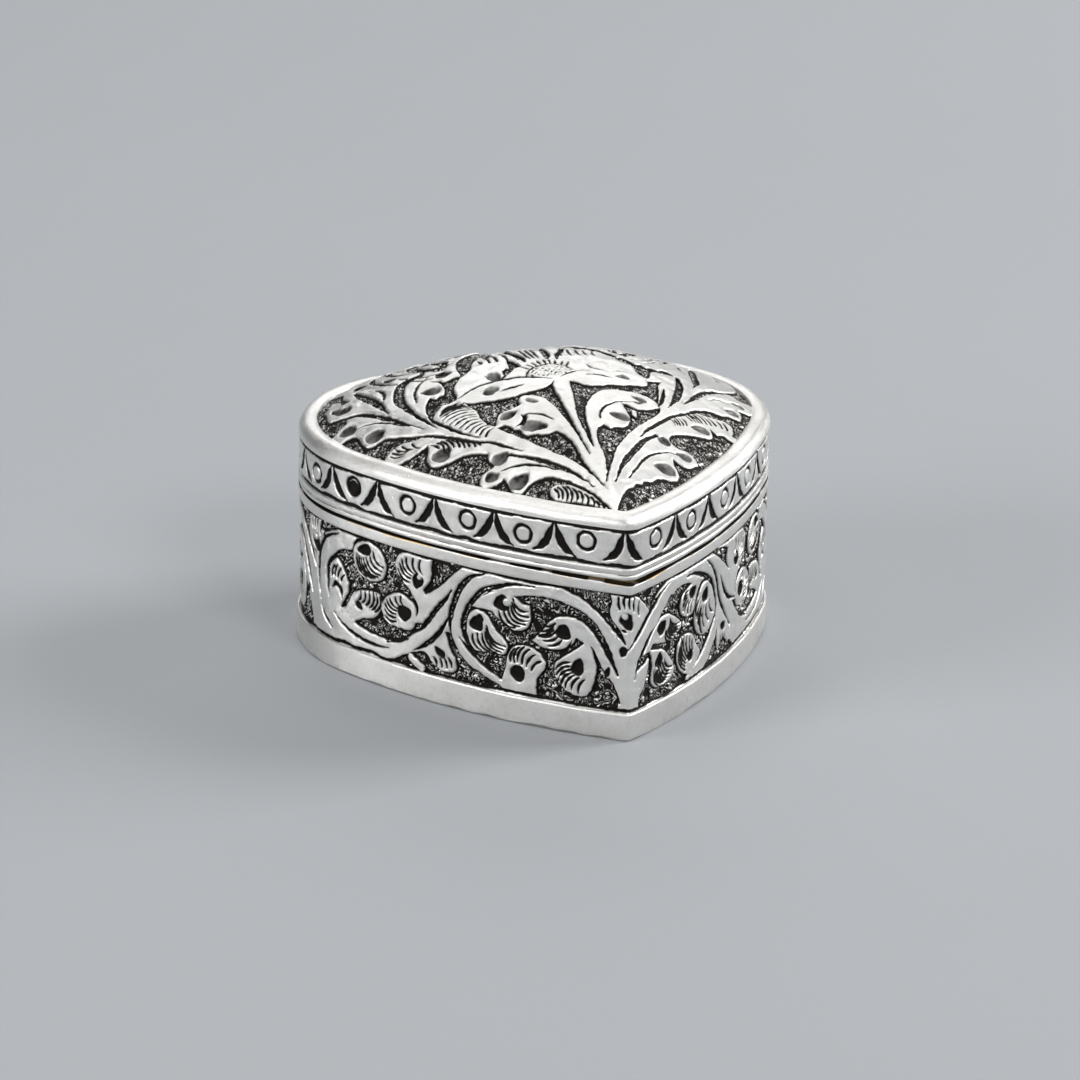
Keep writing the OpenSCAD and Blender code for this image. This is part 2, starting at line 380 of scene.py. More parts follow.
    def finish(self, depth, cut_depth=0.2, tarnish=1.0, mat=0.0, stroke=0.42, patch=1.3, dents=0.06):
        """Height against the untouched face in mm, never above it, and patina from 0, bright, to 1, black."""
        face = 1 - self.ground
        strokes = 0.0
        if mat > 0:
            open_ground = ramp(0.84, 0.97, blur(self.ground, self.STEP, 0.12))
            bare = grain(self.shape, self.STEP, 2.0 * patch, self.seed + 8)
            strokes = self.combs(stroke, patch) * open_ground * ramp(-1.5, -0.6, bare)
            strokes = np.clip(2.0 * strokes, 0, 1)
        pillow = blur(self.ground, self.STEP, 0.12)
        uneven = ramp(-2.5, 2.5, grain(self.shape, self.STEP, 2.2, self.seed + 3))
        height = -depth * self.ground + mat * depth * strokes
        height = height - 0.16 * depth * pillow * face - dents * uneven * face
        height = height - cut_depth * self.cuts * face - 0.75 * depth * self.hollows * face
        dark = ramp(0.04, 0.42, self.ground) * (1 - 0.9 * strokes)
        dark = np.maximum(dark, np.maximum(self.cuts, tarnish * self.stain))
        return np.minimum(blur(height, self.STEP, 0.03), 0.0), np.clip(blur(dark, self.STEP, 0.02), 0, 1)

    def sample(self, field, u, v):
        """Values of a field at any points of the sheet."""
        x = np.clip((np.asarray(u) - self.origin[0]) / self.STEP, 0, self.shape[1] - 1.001)
        y = np.clip((np.asarray(v) - self.origin[1]) / self.STEP, 0, self.shape[0] - 1.001)
        i, j = y.astype(int), x.astype(int)
        a, b = y - i, x - j
        return ((field[i, j] * (1 - b) + field[i, j + 1] * b) * (1 - a)
                + (field[i + 1, j] * (1 - b) + field[i + 1, j + 1] * b) * a)


# ---- motifs of the frieze round the body -----------------------------------------
# Each is drawn as (s, z) at its place near the point of the heart, and place() carries it on round the back.

def wide_loop(frieze):
    """The loop beside the point, s -19 to -1, with five buds."""
    frieze.sink((-1.2, 7), (-2.4, 9.3), (-3.6, 11.3), (-5.2, 12.9), (-6.4, 13.6), (-8.5, 14), (-10.6, 13.9),
                (-12.6, 13.5), (-15, 13.6), (-16.6, 12.6), (-18, 10.9), (-18.5, 9), (-17.7, 7.2),
                (-16.3, 5.9), (-14.6, 4.9), (-13.8, 4.3), (-11.5, 3.9), (-9.9, 4.1), (-9.8, 3.3), (-6, 3.2),
                (-1.7, 3.3), (-1.1, 3.8), (-1.5, 5), (-2, 6.2), (-2.5, 6.7), (-2.2, 8.3))
    frieze.channel(0.5, (-6.4, 13.45), (-5.1, 12.9), (-3.8, 11.9), (-2.7, 10.2), (-1.9, 8.6), (-1.2, 6.9),
                   ends=(0.7, 0.3))
    # bud under the crest, fanning to the right
    frieze.leaf((-18, 11.2), (-16.4, 12.8), (-14.6, 13.7), (-12.6, 13.5), (-11.6, 12.9), (-10.8, 12.9),
                (-10.6, 11.6), (-10.9, 10.5), (-11.8, 9.9), (-12.8, 9.9), (-13.8, 10.3), (-14.7, 11),
                (-15.4, 11.4), (-17.4, 11.4))
    frieze.eye(-14.0, 12.5, 1.9, 1.7, 200, bright=0.42)
    frieze.fan(6, [(-12.6, 13.4), (-13.1, 12.3), (-14.5, 11.5)],
               [(-10.9, 12.4), (-11.1, 10.9), (-12.7, 10.0)], -0.25)
    # bud at the left, fanning down
    frieze.leaf((-17.9, 10.4), (-17.2, 11.2), (-16.1, 11.2), (-15.3, 10.5), (-14.6, 9.5), (-13.5, 8.6),
                (-13.2, 7.7), (-13.6, 7), (-15.2, 6.9), (-16.9, 6.8), (-17.7, 7.6), (-18.1, 9))
    frieze.eye(-16.9, 9.7, 1.7, 1.6, 200)
    frieze.eye(-16.5, 10.4, 0.9, 1.0, 90)
    frieze.fan(6, [(-15.6, 9.9), (-16, 8.9), (-17.6, 8.5)], [(-13.4, 8.1), (-14.2, 7.1), (-16.7, 6.95)],
               -0.22)
    # bud standing on the lower stem
    frieze.leaf((-13.9, 3.4), (-13.8, 4.6), (-13.5, 5.6), (-13.3, 6.8), (-12.9, 7.8), (-12, 8.4),
                (-10.9, 8.5), (-9.8, 8.1), (-9, 7.2), (-8.9, 6.5), (-9.5, 5.6), (-9.9, 4.9), (-9.9, 4.2),
                (-11, 3.4))
    frieze.eye(-12.0, 5.3, 1.8, 1.7, 290, point=0.2)
    frieze.fan(6, [(-13.0, 6.3), (-11.8, 6.5), (-10.2, 5.8)], [(-12.7, 7.8), (-11, 8.3), (-9.1, 6.8)], 0.16)
    # the pair of buds like two birds at the right
    frieze.leaf((-10.6, 9.2), (-9.6, 10.2), (-8.9, 11.2), (-8.1, 12), (-6.9, 12.4), (-5.6, 12.3),
                (-4.5, 11.7), (-3.4, 10.5), (-2.5, 9), (-1.6, 7.2), (-1.9, 6.3), (-2.5, 6.9), (-2.9, 7.5),
                (-3.4, 8.5), (-4.1, 9.6), (-4.9, 9.8), (-5.6, 10.2), (-6.2, 9.3), (-7.4, 8.6), (-8.6, 8.4),
                (-9.6, 8.7))
    frieze.eye(-7.0, 10.6, 1.7, 1.6, 320)
    frieze.fan(6, [(-7.9, 11.6), (-8.1, 10.6), (-7.0, 9.6)], [(-9.1, 11.2), (-9.8, 9.8), (-8.3, 8.7)], 0.12)
    frieze.cut(0.3, (-6.1, 9.9), (-6.7, 8.9), (-7.8, 8.5), (-9.1, 8.55))
    frieze.leaf((-4.7, 9.9), (-5.8, 9.0), (-7.6, 7.6), (-8, 6.8), (-7.9, 5.8), (-7.2, 4.8), (-6.2, 4.2),
                (-5.1, 4), (-4.3, 4.3), (-3.8, 5.2), (-3.5, 6.4), (-3.4, 7.4), (-3.8, 8.8), (-4.1, 9.7))
    frieze.eye(-5.4, 7.2, 2.0, 1.35, 75)
    frieze.fan(7, [(-6.2, 7.7), (-6.1, 6.4), (-4.4, 5.8)], [(-7.9, 6.7), (-7.2, 5.0), (-4.9, 4.15)], -0.15)
    frieze.eye(-2.25, 7.1, 1.2, 0.6, 75, point=0.1)
    # the stem that runs round the loop
    frieze.channel(0.5, (-10.3, 14.95), (-12.6, 14.8), (-14.6, 14.15), (-16.3, 13.3), (-17.5, 11.9),
                   (-18.3, 10.4), (-18.55, 9), (-18.1, 7.5), (-17.2, 6.5))
    frieze.channel(0.4, (-18.9, 7.8), (-17.6, 6.6), (-16, 5.5), (-14, 4.35))
    frieze.channel(0.3, (-17.6, 6.9), (-16, 5.9), (-14.6, 5.1), (-13.9, 4.9))
    frieze.sink((-9, 15.75), (-6.5, 15.05), (-4.6, 14.2), (-3.1, 13), (-1.9, 11.8), (-0.3, 10.1),
                (-1, 11.6), (-1.8, 12.6), (-2.2, 13.6), (-2, 14.6), (-2.2, 15.7))


def narrow_loop(frieze):
    """The next loop, s -39 to -21, with a trailing crescent under its buds."""
    frieze.sink((-37.4, 10), (-37.2, 11.3), (-36.2, 12.4), (-34.9, 13.3), (-33.3, 13.7), (-32.9, 14.8),
                (-31.6, 15.4), (-28.6, 15.5), (-26.6, 16), (-26, 15.6), (-27.1, 14.4), (-27, 13),
                (-26.1, 12.1), (-25, 11.2), (-24.1, 9.7), (-24.6, 8), (-23.4, 8.2), (-24.6, 6.9),
                (-26, 5.9), (-27.6, 5.3), (-29.8, 5.3), (-31.4, 5.5), (-32.8, 5.9), (-34, 7.2), (-35, 7),
                (-36.9, 7.6))
    frieze.leaf((-33.1, 13), (-32.9, 14.4), (-31.9, 15.1), (-30.5, 15.2), (-29.2, 14.6), (-28.4, 13.3),
                (-28.6, 12), (-29.5, 11.2), (-31, 11), (-32.4, 11.6))
    frieze.eye(-31.5, 14.2, 2.0, 1.2, 195)
    frieze.fan(7, [(-32.7, 13.6), (-31.6, 13.2), (-29.9, 14.6)],
               [(-31.3, 11.2), (-29.5, 11.7), (-28.7, 13.2)], -0.22)
    frieze.leaf((-27.1, 13.6), (-26.5, 14.8), (-25.3, 15.3), (-23.8, 15.3), (-22.7, 14.8), (-22.4, 13.8),
                (-22.9, 12.6), (-24, 11.4), (-24.9, 10.9), (-25.6, 12), (-26.6, 12.6))
    frieze.eye(-24.2, 12.6, 1.6, 1.4, 250, bright=0.3)
    frieze.fan(6, [(-26.9, 13.1), (-26, 14.7), (-23.4, 15.0)],
               [(-25.2, 12.1), (-24.9, 13.2), (-23.3, 13.5)], -0.2)
    frieze.leaf((-36.9, 9.9), (-36.6, 11.4), (-35.7, 12.2), (-34.9, 11.8), (-34.2, 10.7), (-33.8, 9.7),
                (-33.9, 8.8), (-34.7, 7.5), (-35.3, 6.4), (-36.8, 7.2))
    frieze.channel(0.5, (-36.5, 8.7), (-35.8, 9.35), (-35, 8.9), (-34.75, 8))
    frieze.fan(4, [(-36.6, 9.8), (-35.7, 10.1), (-34.6, 9.6)],
               [(-36.2, 11.3), (-35.2, 11.4), (-34.2, 10.3)], 0.12)
    frieze.leaf((-33.3, 8.9), (-32.5, 9.5), (-31.2, 9.9), (-29.9, 10), (-29.2, 9.8), (-28.9, 8.8),
                (-29.4, 7.7), (-30.2, 7), (-31.6, 6.6), (-33.4, 5.8), (-34.6, 6.6))
    frieze.eye(-32.2, 7.9, 1.2, 0.8, 330)
    frieze.fan(6, [(-32.7, 8.5), (-31, 8.1), (-29.8, 7.7)], [(-32.3, 9.4), (-30.5, 9.9), (-29.0, 9.6)],
               -0.2)
    frieze.leaf((-28.9, 9.3), (-27.9, 10.3), (-26.8, 10.8), (-25.7, 10.6), (-24.5, 9.8), (-24.3, 8.6),
                (-24.9, 7.1), (-26.6, 6.9), (-28.2, 7.1), (-28.9, 8))
    frieze.eye(-25.9, 8.7, 1.7, 1.9, 270, point=0.25)
    frieze.fan(7, [(-28.5, 7.6), (-28.3, 9.6), (-25.9, 10.6)], [(-27.0, 7.4), (-27.0, 8.7), (-26.0, 9.8)],
               -0.18)
    frieze.channel(0.45, (-35.3, 15), (-37.2, 14.2), (-38.3, 13), (-38.8, 11.5), (-38.95, 10), (-38.8, 8.4),
                   (-38.4, 6.9))
    frieze.channel(0.3, (-38.4, 6.2), (-37.6, 5.2), (-36.4, 4.3))
    frieze.channel(0.32, (-36, 6.1), (-34.6, 5.2), (-33, 4.6), (-31.4, 4.3), (-29.5, 4.2), (-28, 4.4))
    frieze.cut(0.25, (-28.2, 5), (-26.6, 5.5), (-25.3, 6.1))
    frieze.sink((-38.6, 14.6), (-37.6, 14.5), (-36.2, 15.1), (-34.5, 15.7), (-38.2, 15.6))


def vine(frieze):
    """The stems that cross from the foot of one loop to the top of the next, with the bud under them."""
    frieze.channel(0.45, (-24.8, 6.9), (-23.6, 7.7), (-22.6, 9), (-21.6, 10.4), (-20.6, 11.6),
                   (-19.9, 12.7))
    frieze.channel(0.45, (-24.6, 5.0), (-23.3, 5.9), (-22.1, 6.9), (-21, 8.3), (-20.3, 9.6))
    frieze.channel(0.6, (-16.1, 15.2), (-17.6, 14.6), (-18.7, 13.4), (-19.4, 12), (-19.9, 10.4), (-20.1, 9),
                   (-19.9, 7.9))
    frieze.channel(0.3, (-17.2, 14.9), (-18.3, 13.8), (-19, 12.8))
    frieze.sink((-23.2, 11.5), (-22.4, 12), (-21, 13.1), (-19.8, 14.4), (-18.3, 15.8), (-19.6, 15.8),
                (-21, 15.7), (-22.2, 15.4), (-22.5, 14.5), (-22.8, 13.6), (-22.6, 13), (-23.4, 12))
    frieze.sink((-27.2, 3.4), (-25.6, 4.3), (-24, 5), (-23, 5.1), (-22.4, 4.4), (-21, 3.6), (-19.4, 3.9),
                (-19.3, 5), (-20.1, 6.4), (-20.6, 7.9), (-19.9, 7.8), (-18.9, 6.1), (-17.6, 5), (-16, 4.3),
                (-14.2, 3.6), (-13.6, 3.2), (-20, 3.1))
    frieze.stem(0.9, (-25, 4.1), (-23.6, 3.3))
    frieze.eye(-21.3, 5.6, 1.6, 0.9, 140)
    frieze.fan(4, [(-22.4, 4.9), (-21, 5.0), (-20, 5.3)], [(-22.0, 4.0), (-20.7, 4.0), (-19.5, 4.4)], 0.1)


def bud(frieze):
    """The triangular bud that hangs between two loops."""
    frieze.eye(-0.25, 12.7, 2.0, 1.5, 300, bright=0.34)
    frieze.fan(5, [(-1.5, 15.2), (0, 15.4), (1.8, 14.4)], [(-1.3, 13.9), (0, 14.1), (1.8, 12.9)], -0.08,
               0.28)
    frieze.cut(0.25, (-0.9, 11.8), (-0.3, 11.6))


def point_loop(frieze):
    """The loop on the other side of the point, s 0 to 18."""
    frieze.sink((1.5, 7.2), (2.3, 9), (3.3, 10.2), (4.5, 11.3), (5.8, 12.6), (7.2, 13.6), (8.6, 13.9),
                (10, 13.9), (11.4, 13.4), (12.4, 12.6), (13.6, 13.2), (15.2, 12.6), (16.2, 11.2), (16.9, 9),
                (16.7, 8), (16, 7.1), (14.6, 5.7), (13.4, 4.9), (12.4, 4.4), (10.8, 3.8), (9.8, 3.2),
                (6, 3.1), (1.7, 3.3), (1.8, 4.2), (2.5, 5), (2.9, 6), (3.2, 7), (3.3, 8), (2.2, 7.4))
    frieze.leaf((2.0, 8.4), (3.5, 10.2), (4.7, 11.4), (5.6, 11.8), (6.8, 11.7), (7.7, 11.2), (8.7, 10.5),
                (9.2, 9.8), (8.7, 9.2), (7.6, 8.7), (6.4, 8.7), (5, 8.9), (3.9, 9.2), (3.4, 8.6))
    frieze.eye(5.5, 10.6, 1.7, 1.5, 30)
    frieze.fan(7, [(6.0, 9.9), (6.8, 10.3), (7.0, 11.2)], [(6.6, 8.6), (8.4, 9.2), (8.9, 10.3)], -0.2)
    frieze.leaf((3.3, 8.9), (4.6, 8.5), (5.8, 8.2), (6.9, 7.2), (7.8, 6), (7.9, 5), (7.1, 4.4), (5.6, 4.2),
                (4.3, 4.5), (3.7, 5.4), (3.9, 6.5), (3.8, 7.6), (3.6, 8.2))
    frieze.eye(5.1, 7.2, 1.7, 1.3, 80)
    frieze.fan(8, [(4.2, 6.4), (5.1, 6.1), (6.2, 7.2)], [(4.9, 4.4), (6.6, 4.7), (7.7, 5.9)], -0.2)
    frieze.leaf((10.2, 13.2), (9.3, 12.8), (8.9, 12), (9.1, 11), (9.9, 10.3), (11, 10.1), (11.8, 10.6),
                (12.1, 11.5), (12.5, 12.4), (13.2, 13.5), (11.4, 13.6))
    frieze.eye(11.4, 12.6, 1.5, 1.3, 40)
    frieze.fan(6, [(10.5, 13.1), (10.4, 12.1), (11.6, 11.6)], [(9.4, 12.5), (9.6, 10.9), (11.4, 10.3)],
               -0.15)
    frieze.leaf((12.8, 12), (12.2, 10.8), (11.9, 9.4), (12.4, 8), (13.4, 7.2), (14.8, 7.1), (16, 7.8),
                (16.7, 9), (16.5, 10.4), (15.7, 11.9), (14.6, 12.8), (13.4, 12.7))
    frieze.eye(14.2, 11.4, 1.7, 1.4, 60)
    frieze.fan(8, [(12.9, 11.6), (13.4, 10), (15.4, 10.6)], [(12.1, 9.6), (13.6, 7.3), (16.4, 9.2)], -0.15)
    frieze.leaf((8.4, 6.9), (8.9, 8), (10, 8.4), (11.2, 8.2), (12, 7.5), (12.5, 6.6), (13.3, 5.7),
                (13, 4.9), (12, 4.2), (10.8, 3.8), (9.6, 4.3), (8.7, 5.4))
    frieze.eye(11.2, 5.8, 1.4, 1.2, 60)
    frieze.fan(8, [(8.6, 6.6), (9.6, 8.2), (11.9, 7.5)], [(10.1, 4.3), (10.5, 5.6), (11.9, 6.3)], -0.14)
    frieze.channel(0.45, (1, 6.3), (1.4, 7.6), (2.3, 9), (3.3, 10.2), (4.5, 11.2))
    frieze.channel(0.5, (-0.1, 9.7), (0.6, 10.3), (1.6, 11.2), (2.6, 12.2), (3.9, 13.4), (5.1, 14.3),
                   (6.7, 15.05))
    frieze.channel(0.45, (10, 14.6), (11.5, 14.5), (13, 14), (14.6, 13.2), (15.8, 12.2), (16.5, 10.8),
                   (16.95, 9.2), (16.7, 8))
    frieze.sink((0.5, 15.7), (1.9, 14.6), (2.9, 13.5), (3.4, 12.9), (3.9, 13.8), (4.8, 14.6), (5.8, 15.1),
                (6.9, 15.6), (4, 15.6))
    frieze.channel(0.45, (14.4, 15.05), (15.8, 13.9), (16.9, 12.3), (17.4, 10.7), (18.1, 9.3), (19.3, 7.7),
                   (20.8, 5.9))
    frieze.channel(0.45, (17.8, 12.3), (18.6, 11), (19.5, 9.8), (20.5, 9), (22.2, 8.4))
    frieze.sink((15.2, 15.7), (16.8, 14.8), (18.4, 13.7), (20.1, 12.3), (19.6, 13.4), (19.9, 14.6),
                (18.4, 15.1))
    frieze.eye(18.8, 6.4, 1.3, 1.0, 160)
    frieze.fan(3, [(17.9, 5.6), (18.8, 5.5), (19.6, 5.2)], [(17.9, 4.4), (18.8, 4.2), (19.8, 4.1)], 0.1)
    frieze.sink((14.2, 3.3), (15.6, 4.4), (16.8, 5.6), (17.3, 6.6), (17.4, 5), (17.9, 3.8), (19.3, 3.4),
                (20.6, 4.2), (22, 3.3))


FRIEZE_PITCH = 39.2        # two loops, their vine and their buds
FRIEZE_SHIFT = -1.9        # the mirrored loops on the +X side lie a little nearer the point


def carve_frieze(half):
    frieze = Sheet(-half, half, FOOT_H - 0.4, WALL_TOP, 11)
    for line_z, width, seed in ((WALL_TOP - 0.08, 0.34, 21), (FOOT_H + 0.12, 0.3, 22)):
        steps = np.arange(-half, half + 1, 1.5)
        wander = 0.07 * np.random.default_rng(seed).standard_normal(len(steps))
        frieze.channel(width, *np.column_stack([steps, line_z + wander]), ends=(1, 1))
    for turn in (0, 1):
        frieze.place(-FRIEZE_PITCH * turn)
        bud(frieze)
        wide_loop(frieze)
        vine(frieze)
        narrow_loop(frieze)
    frieze.place()
    point_loop(frieze)
    frieze.place(FRIEZE_SHIFT, -1)
    frieze.sink((-18.4, 3.4), (-21, 5), (-22.6, 3.4))
    narrow_loop(frieze)
    frieze.place(FRIEZE_PITCH + FRIEZE_SHIFT, -1)
    bud(frieze)
    wide_loop(frieze)
    vine(frieze)
    narrow_loop(frieze)
    # the stem at the point
    frieze.place()
    frieze.eye(-0.65, 9.5, 1.2, 0.85, 250, point=0.25)
    frieze.channel(0.3, (-2.1, 6.5), (-1.5, 5.2), (-0.9, 3.9))
    fields = frieze.finish(0.45, cut_depth=0.2, tarnish=0.92, mat=0.55, stroke=0.42, patch=1.15, dents=0.05)
    return frieze, fields


# ---- motifs of the punched band round the lid --------------------------------------

# The marks in front stand where the hand-worked band has them, and BAND_PITCH carries them on round the back.
BAND_PITCH = 7.2
RINGS = (-39.4, -33.0, -25.5, -18.0, -11.6, -4.7, 3.9, 10.6, 18.3, 25.3)
DARTS = (-43.0, -36.3, -29.7, -22.2, -15.0, -8.2, -0.6, 7.4, 14.2, 21.7, 28.9)


def dart(band, s, lean):
    """Two blades that meet at the top and flare at the foot."""
    band.channel(0.72, (s - 0.12 - lean, 22.0), (s - 0.42 - lean, 21.1), (s - 0.85, 20.1), (s - 1.4, 19.5),
                 (s - 2.2, 19.0), ends=(0.25, 0.15))
    band.channel(0.78, (s + 0.22 - lean, 22.0), (s + 0.5, 21.0), (s + 0.95, 20.0), (s + 1.55, 19.4),
                 (s + 2.4, 18.9), ends=(0.25, 0.1))


def carve_band(half):
    band = Sheet(-half, half, BAND_BOTTOM, BAND_TOP, 31)
    rng = np.random.default_rng(5)
    steps = np.arange(-half, half + 1, 1.2)
    for line_z, width in ((BAND_TOP - 0.18, 0.42), (BAND_BOTTOM + 0.17, 0.36)):
        wander = 0.06 * rng.standard_normal(len(steps))
        band.channel(width, *np.column_stack([steps, line_z + wander]), ends=(1, 1))
    more = np.arange(1, 8) * BAND_PITCH
    rings = list(RINGS) + list(RINGS[0] - more[:5]) + list(RINGS[-1] + more)
    darts = list(DARTS) + list(DARTS[0] - more[:5]) + list(DARTS[-1] + more[:7])
    for s in rings:
        if abs(s) < half - 2:
            band.ring(s, 20.55 + 0.12 * rng.standard_normal(), 0.92, 0.36)
    for s in darts:
        if abs(s) < half - 2.5:
            dart(band, s, 0.1 * rng.standard_normal())
    band.place(-33.0)
    band.eye(0, 20.5, 1.7, 1.7, 80, point=0.1)
    return band, band.finish(0.28, cut_depth=0.22)


# ---- motifs of the lid's panel, seen from above ---------------------------------------

PANEL_SIDE = 24.0      # how far the panel's sheet reaches to each side,
PANEL_FRONT = -33.0    # to the point
PANEL_BACK = 16.0      # and to the back


def panel_left(lid):
    """Foliage left of the middle stem, from the point up to the widest line."""
    # beside the middle stem and under the flower's left sepal
    lid.sink((-10, -7.5), (-8.6, -8.3), (-6.8, -8.95), (-5, -9.15), (-3, -9), (-1.6, -8.8), (-0.5, -7.9),
             (-0.95, -9.2), (-1, -11.5), (-1.02, -14), (-1, -18), (-0.95, -22.2), (-1.15, -19.5),
             (-1.32, -17), (-1.6, -14.8), (-1.9, -12.8), (-2.3, -11.2), (-3, -10.2), (-3.8, -9.75),
             (-4.7, -9.8), (-5, -10.4), (-4.9, -11), (-5.8, -11.3), (-7.2, -11.6), (-7.9, -12.4),
             (-8.2, -13.3), (-8.8, -12.6), (-9.2, -11.2), (-9.2, -9.8), (-9.5, -8.8))
    # between the inner acanthus leaf and the second stem
    lid.sink((-8.2, -13.7), (-7.5, -13.6), (-7, -14), (-6.7, -14.8), (-6.2, -15.2), (-6.15, -15.9),
             (-5.6, -16.5), (-4.9, -16.7), (-4.3, -17.1), (-3.6, -17.2), (-2.9, -17.1), (-2.4, -18.1),
             (-2, -19.6), (-1.9, -21.2), (-1.85, -22.8), (-1.5, -24.6), (-0.75, -27.8), (-1.4, -25.6),
             (-2.1, -23.6), (-3, -21.9), (-4.2, -20.1), (-5.3, -18.4), (-6.3, -16.7), (-7.3, -15.2))
    lid.eye(-3.75, -10.95, 1.7, 0.8, 305, point=0.1)
    lid.eye(-6.6, -12.3, 2.0, 1.3, 20)
    lid.eye(-4.75, -15.4, 2.9, 1.8, 325)
    lid.channel(0.4, (-6.5, -14.5), (-5.6, -14.1), (-5.2, -13.4), (-5.4, -12.9))
    lid.cut(0.34, (-5.3, -13.1), (-4.4, -13.2), (-3.5, -13.9), (-2.7, -15.3))
    # leaves of the second stem
    lid.eye(-9.1, -18.25, 2.0, 1.6, 20)
    lid.eye(-10.6, -20.2, 1.4, 1.4, 100, point=0.1)
    lid.eye(-8.3, -22.3, 2.3, 1.9, 30)
    lid.eye(-8.6, -22.9, 1.0, 1.1, 270, point=0.1)
    lid.channel(0.62, (-8.1, -18.3), (-6.6, -19.7), (-5.4, -20.9), (-4.2, -22.5), (-3, -24.3),
                (-1.9, -26.7), ends=(0.7, 0.1))
    lid.cut(0.38, (-9.6, -20.0), (-8.3, -20.15), (-6.9, -20.7), (-5.7, -21.6), (-4.5, -22.8))
    lid.channel(0.42, (-10.1, -14.8), (-9.1, -15.7), (-8.1, -17), (-6.9, -18.5), ends=(0.9, 0.1))
    # matted ground along the border, down to the point
    lid.sink((-18.3, -12.4), (-17.2, -12.4), (-16, -12.2), (-15, -11.8), (-15.2, -12.8), (-15.6, -13.6),
             (-15.5, -14.8), (-14.8, -15.5), (-13.4, -15.6), (-12.1, -15.7), (-10.9, -16.2), (-10.1, -16.9),
             (-10.3, -17.8), (-9.9, -18.7), (-10.6, -19.2), (-11.5, -19.5), (-11.9, -20.4), (-11.4, -21.2),
             (-10.3, -21.4), (-9.6, -21.1), (-9.4, -22.2), (-9.3, -23.2), (-8.6, -23.9), (-7.9, -23.5),
             (-6.9, -23.1), (-5.9, -23.2), (-4.8, -23.8), (-3.9, -24.8), (-3.1, -25.9), (-2.3, -27.2),
             (-1.7, -28.6), (-1.1, -30.9), (-2.2, -31.6), (-9, -26), (-15, -18), (-19.5, -12.5))
    lid.leaf((-1.1, -31), (-1.9, -28.7), (-2.9, -26.8), (-3.9, -25.4), (-4.9, -24.8), (-5.8, -24.8),
             (-6.1, -25.5), (-5.8, -26.5), (-5, -27.2), (-4, -27.9), (-3, -28.6), (-2.1, -29.7))
    lid.fan(10, [(-5.7, -25.1), (-4.4, -25.3), (-2.9, -27.4), (-1.7, -29.6)],
            [(-5.6, -26.3), (-4.5, -27.4), (-2.9, -28.6), (-1.6, -30.3)], 0.14, 0.26)
    # mid leaf with its feathered upper edge
    lid.eye(-14.1, -14.1, 2.1, 1.9, 30)
    lid.fan(9, [(-14.9, -12.0), (-12.6, -12.5), (-10.4, -14.6)],
            [(-14.3, -12.9), (-12.3, -14.3), (-10.2, -15.6)], 0.1, 0.3)
    lid.channel(0.5, (-16.3, -9.2), (-14.8, -10.3), (-13.4, -11.5), (-12, -13), (-10.4, -14.6),
                ends=(0.3, 0.7))
    # small hatched leaf by the border
    lid.sink((-20.6, -5.4), (-20.5, -6.7), (-20.2, -7.5), (-19.6, -7.9), (-18.8, -7.7), (-18.1, -7.8),
             (-17.2, -8.4), (-16.2, -9.1), (-15, -10.2), (-15.8, -10.2), (-16.8, -9.8), (-17.8, -9.8),
             (-18.7, -10.2), (-19.9, -10.6), (-22.4, -6.6), (-22.2, -4.9), (-21, -4.7))
    lid.fan(5, [(-18.7, -10.9), (-17.9, -10.0), (-15.8, -10.5)],
            [(-17.5, -11.6), (-16.9, -11.2), (-15.4, -11.8)], -0.12, 0.26)
    # feather leaf across the middle
    lid.channel(0.42, (-13.7, -7.4), (-13.3, -8.9), (-12.5, -10.5), (-11.5, -12.3), (-10.2, -14),
                ends=(0.6, 0.3))
    lid.fan(15, [(-12.3, -7.4), (-12.7, -8.8), (-11.3, -11.8), (-9.3, -14.7)],
            [(-10.4, -7.2), (-9.6, -9), (-9.4, -11.5), (-8.5, -13.8)], 0.16, 0.26)
    # upper leaf
    lid.sink((-13.5, -9.9), (-14.3, -8.1), (-15.2, -5.6), (-15.85, -3.2), (-15.9, -1.9), (-15.5, -0.4),
             (-15, 1), (-14.2, 2.1), (-12.9, 2.5), (-12, 2.6), (-11.5, 3.4), (-11.7, 1.8), (-13.1, 1.2),
             (-14, 0.5), (-14.5, -0.7), (-14.9, -2.3), (-14.9, -4.1), (-14.6, -6), (-14, -7.9))
    lid.sink((-13.7, -6.8), (-13.5, -5.6), (-13, -4.6), (-12.6, -4.3), (-12.2, -4.9), (-11.7, -4.6),
             (-11.3, -4.5), (-11, -3.9), (-10.9, -2.8), (-11.1, -1.8), (-11.8, -0.7), (-11, -1.2),
             (-10.6, -1.9), (-10, -1.95), (-9.3, -1.7), (-8.8, -2.2), (-9.5, -3), (-10.1, -4),
             (-10.3, -5.2), (-10.4, -6.2), (-11, -6.6), (-12, -6.6), (-12.9, -7.3), (-13.5, -8.1))
    lid.eye(-12.3, -3.1, 2.1, 1.6, 150)
    lid.eye(-10.2, -0.2, 1.6, 1.7, 90, point=0.1)
    lid.cut(0.28, (-14.1, -4.2), (-13.8, -2.4), (-13, -0.8), (-11.6, 0.6))
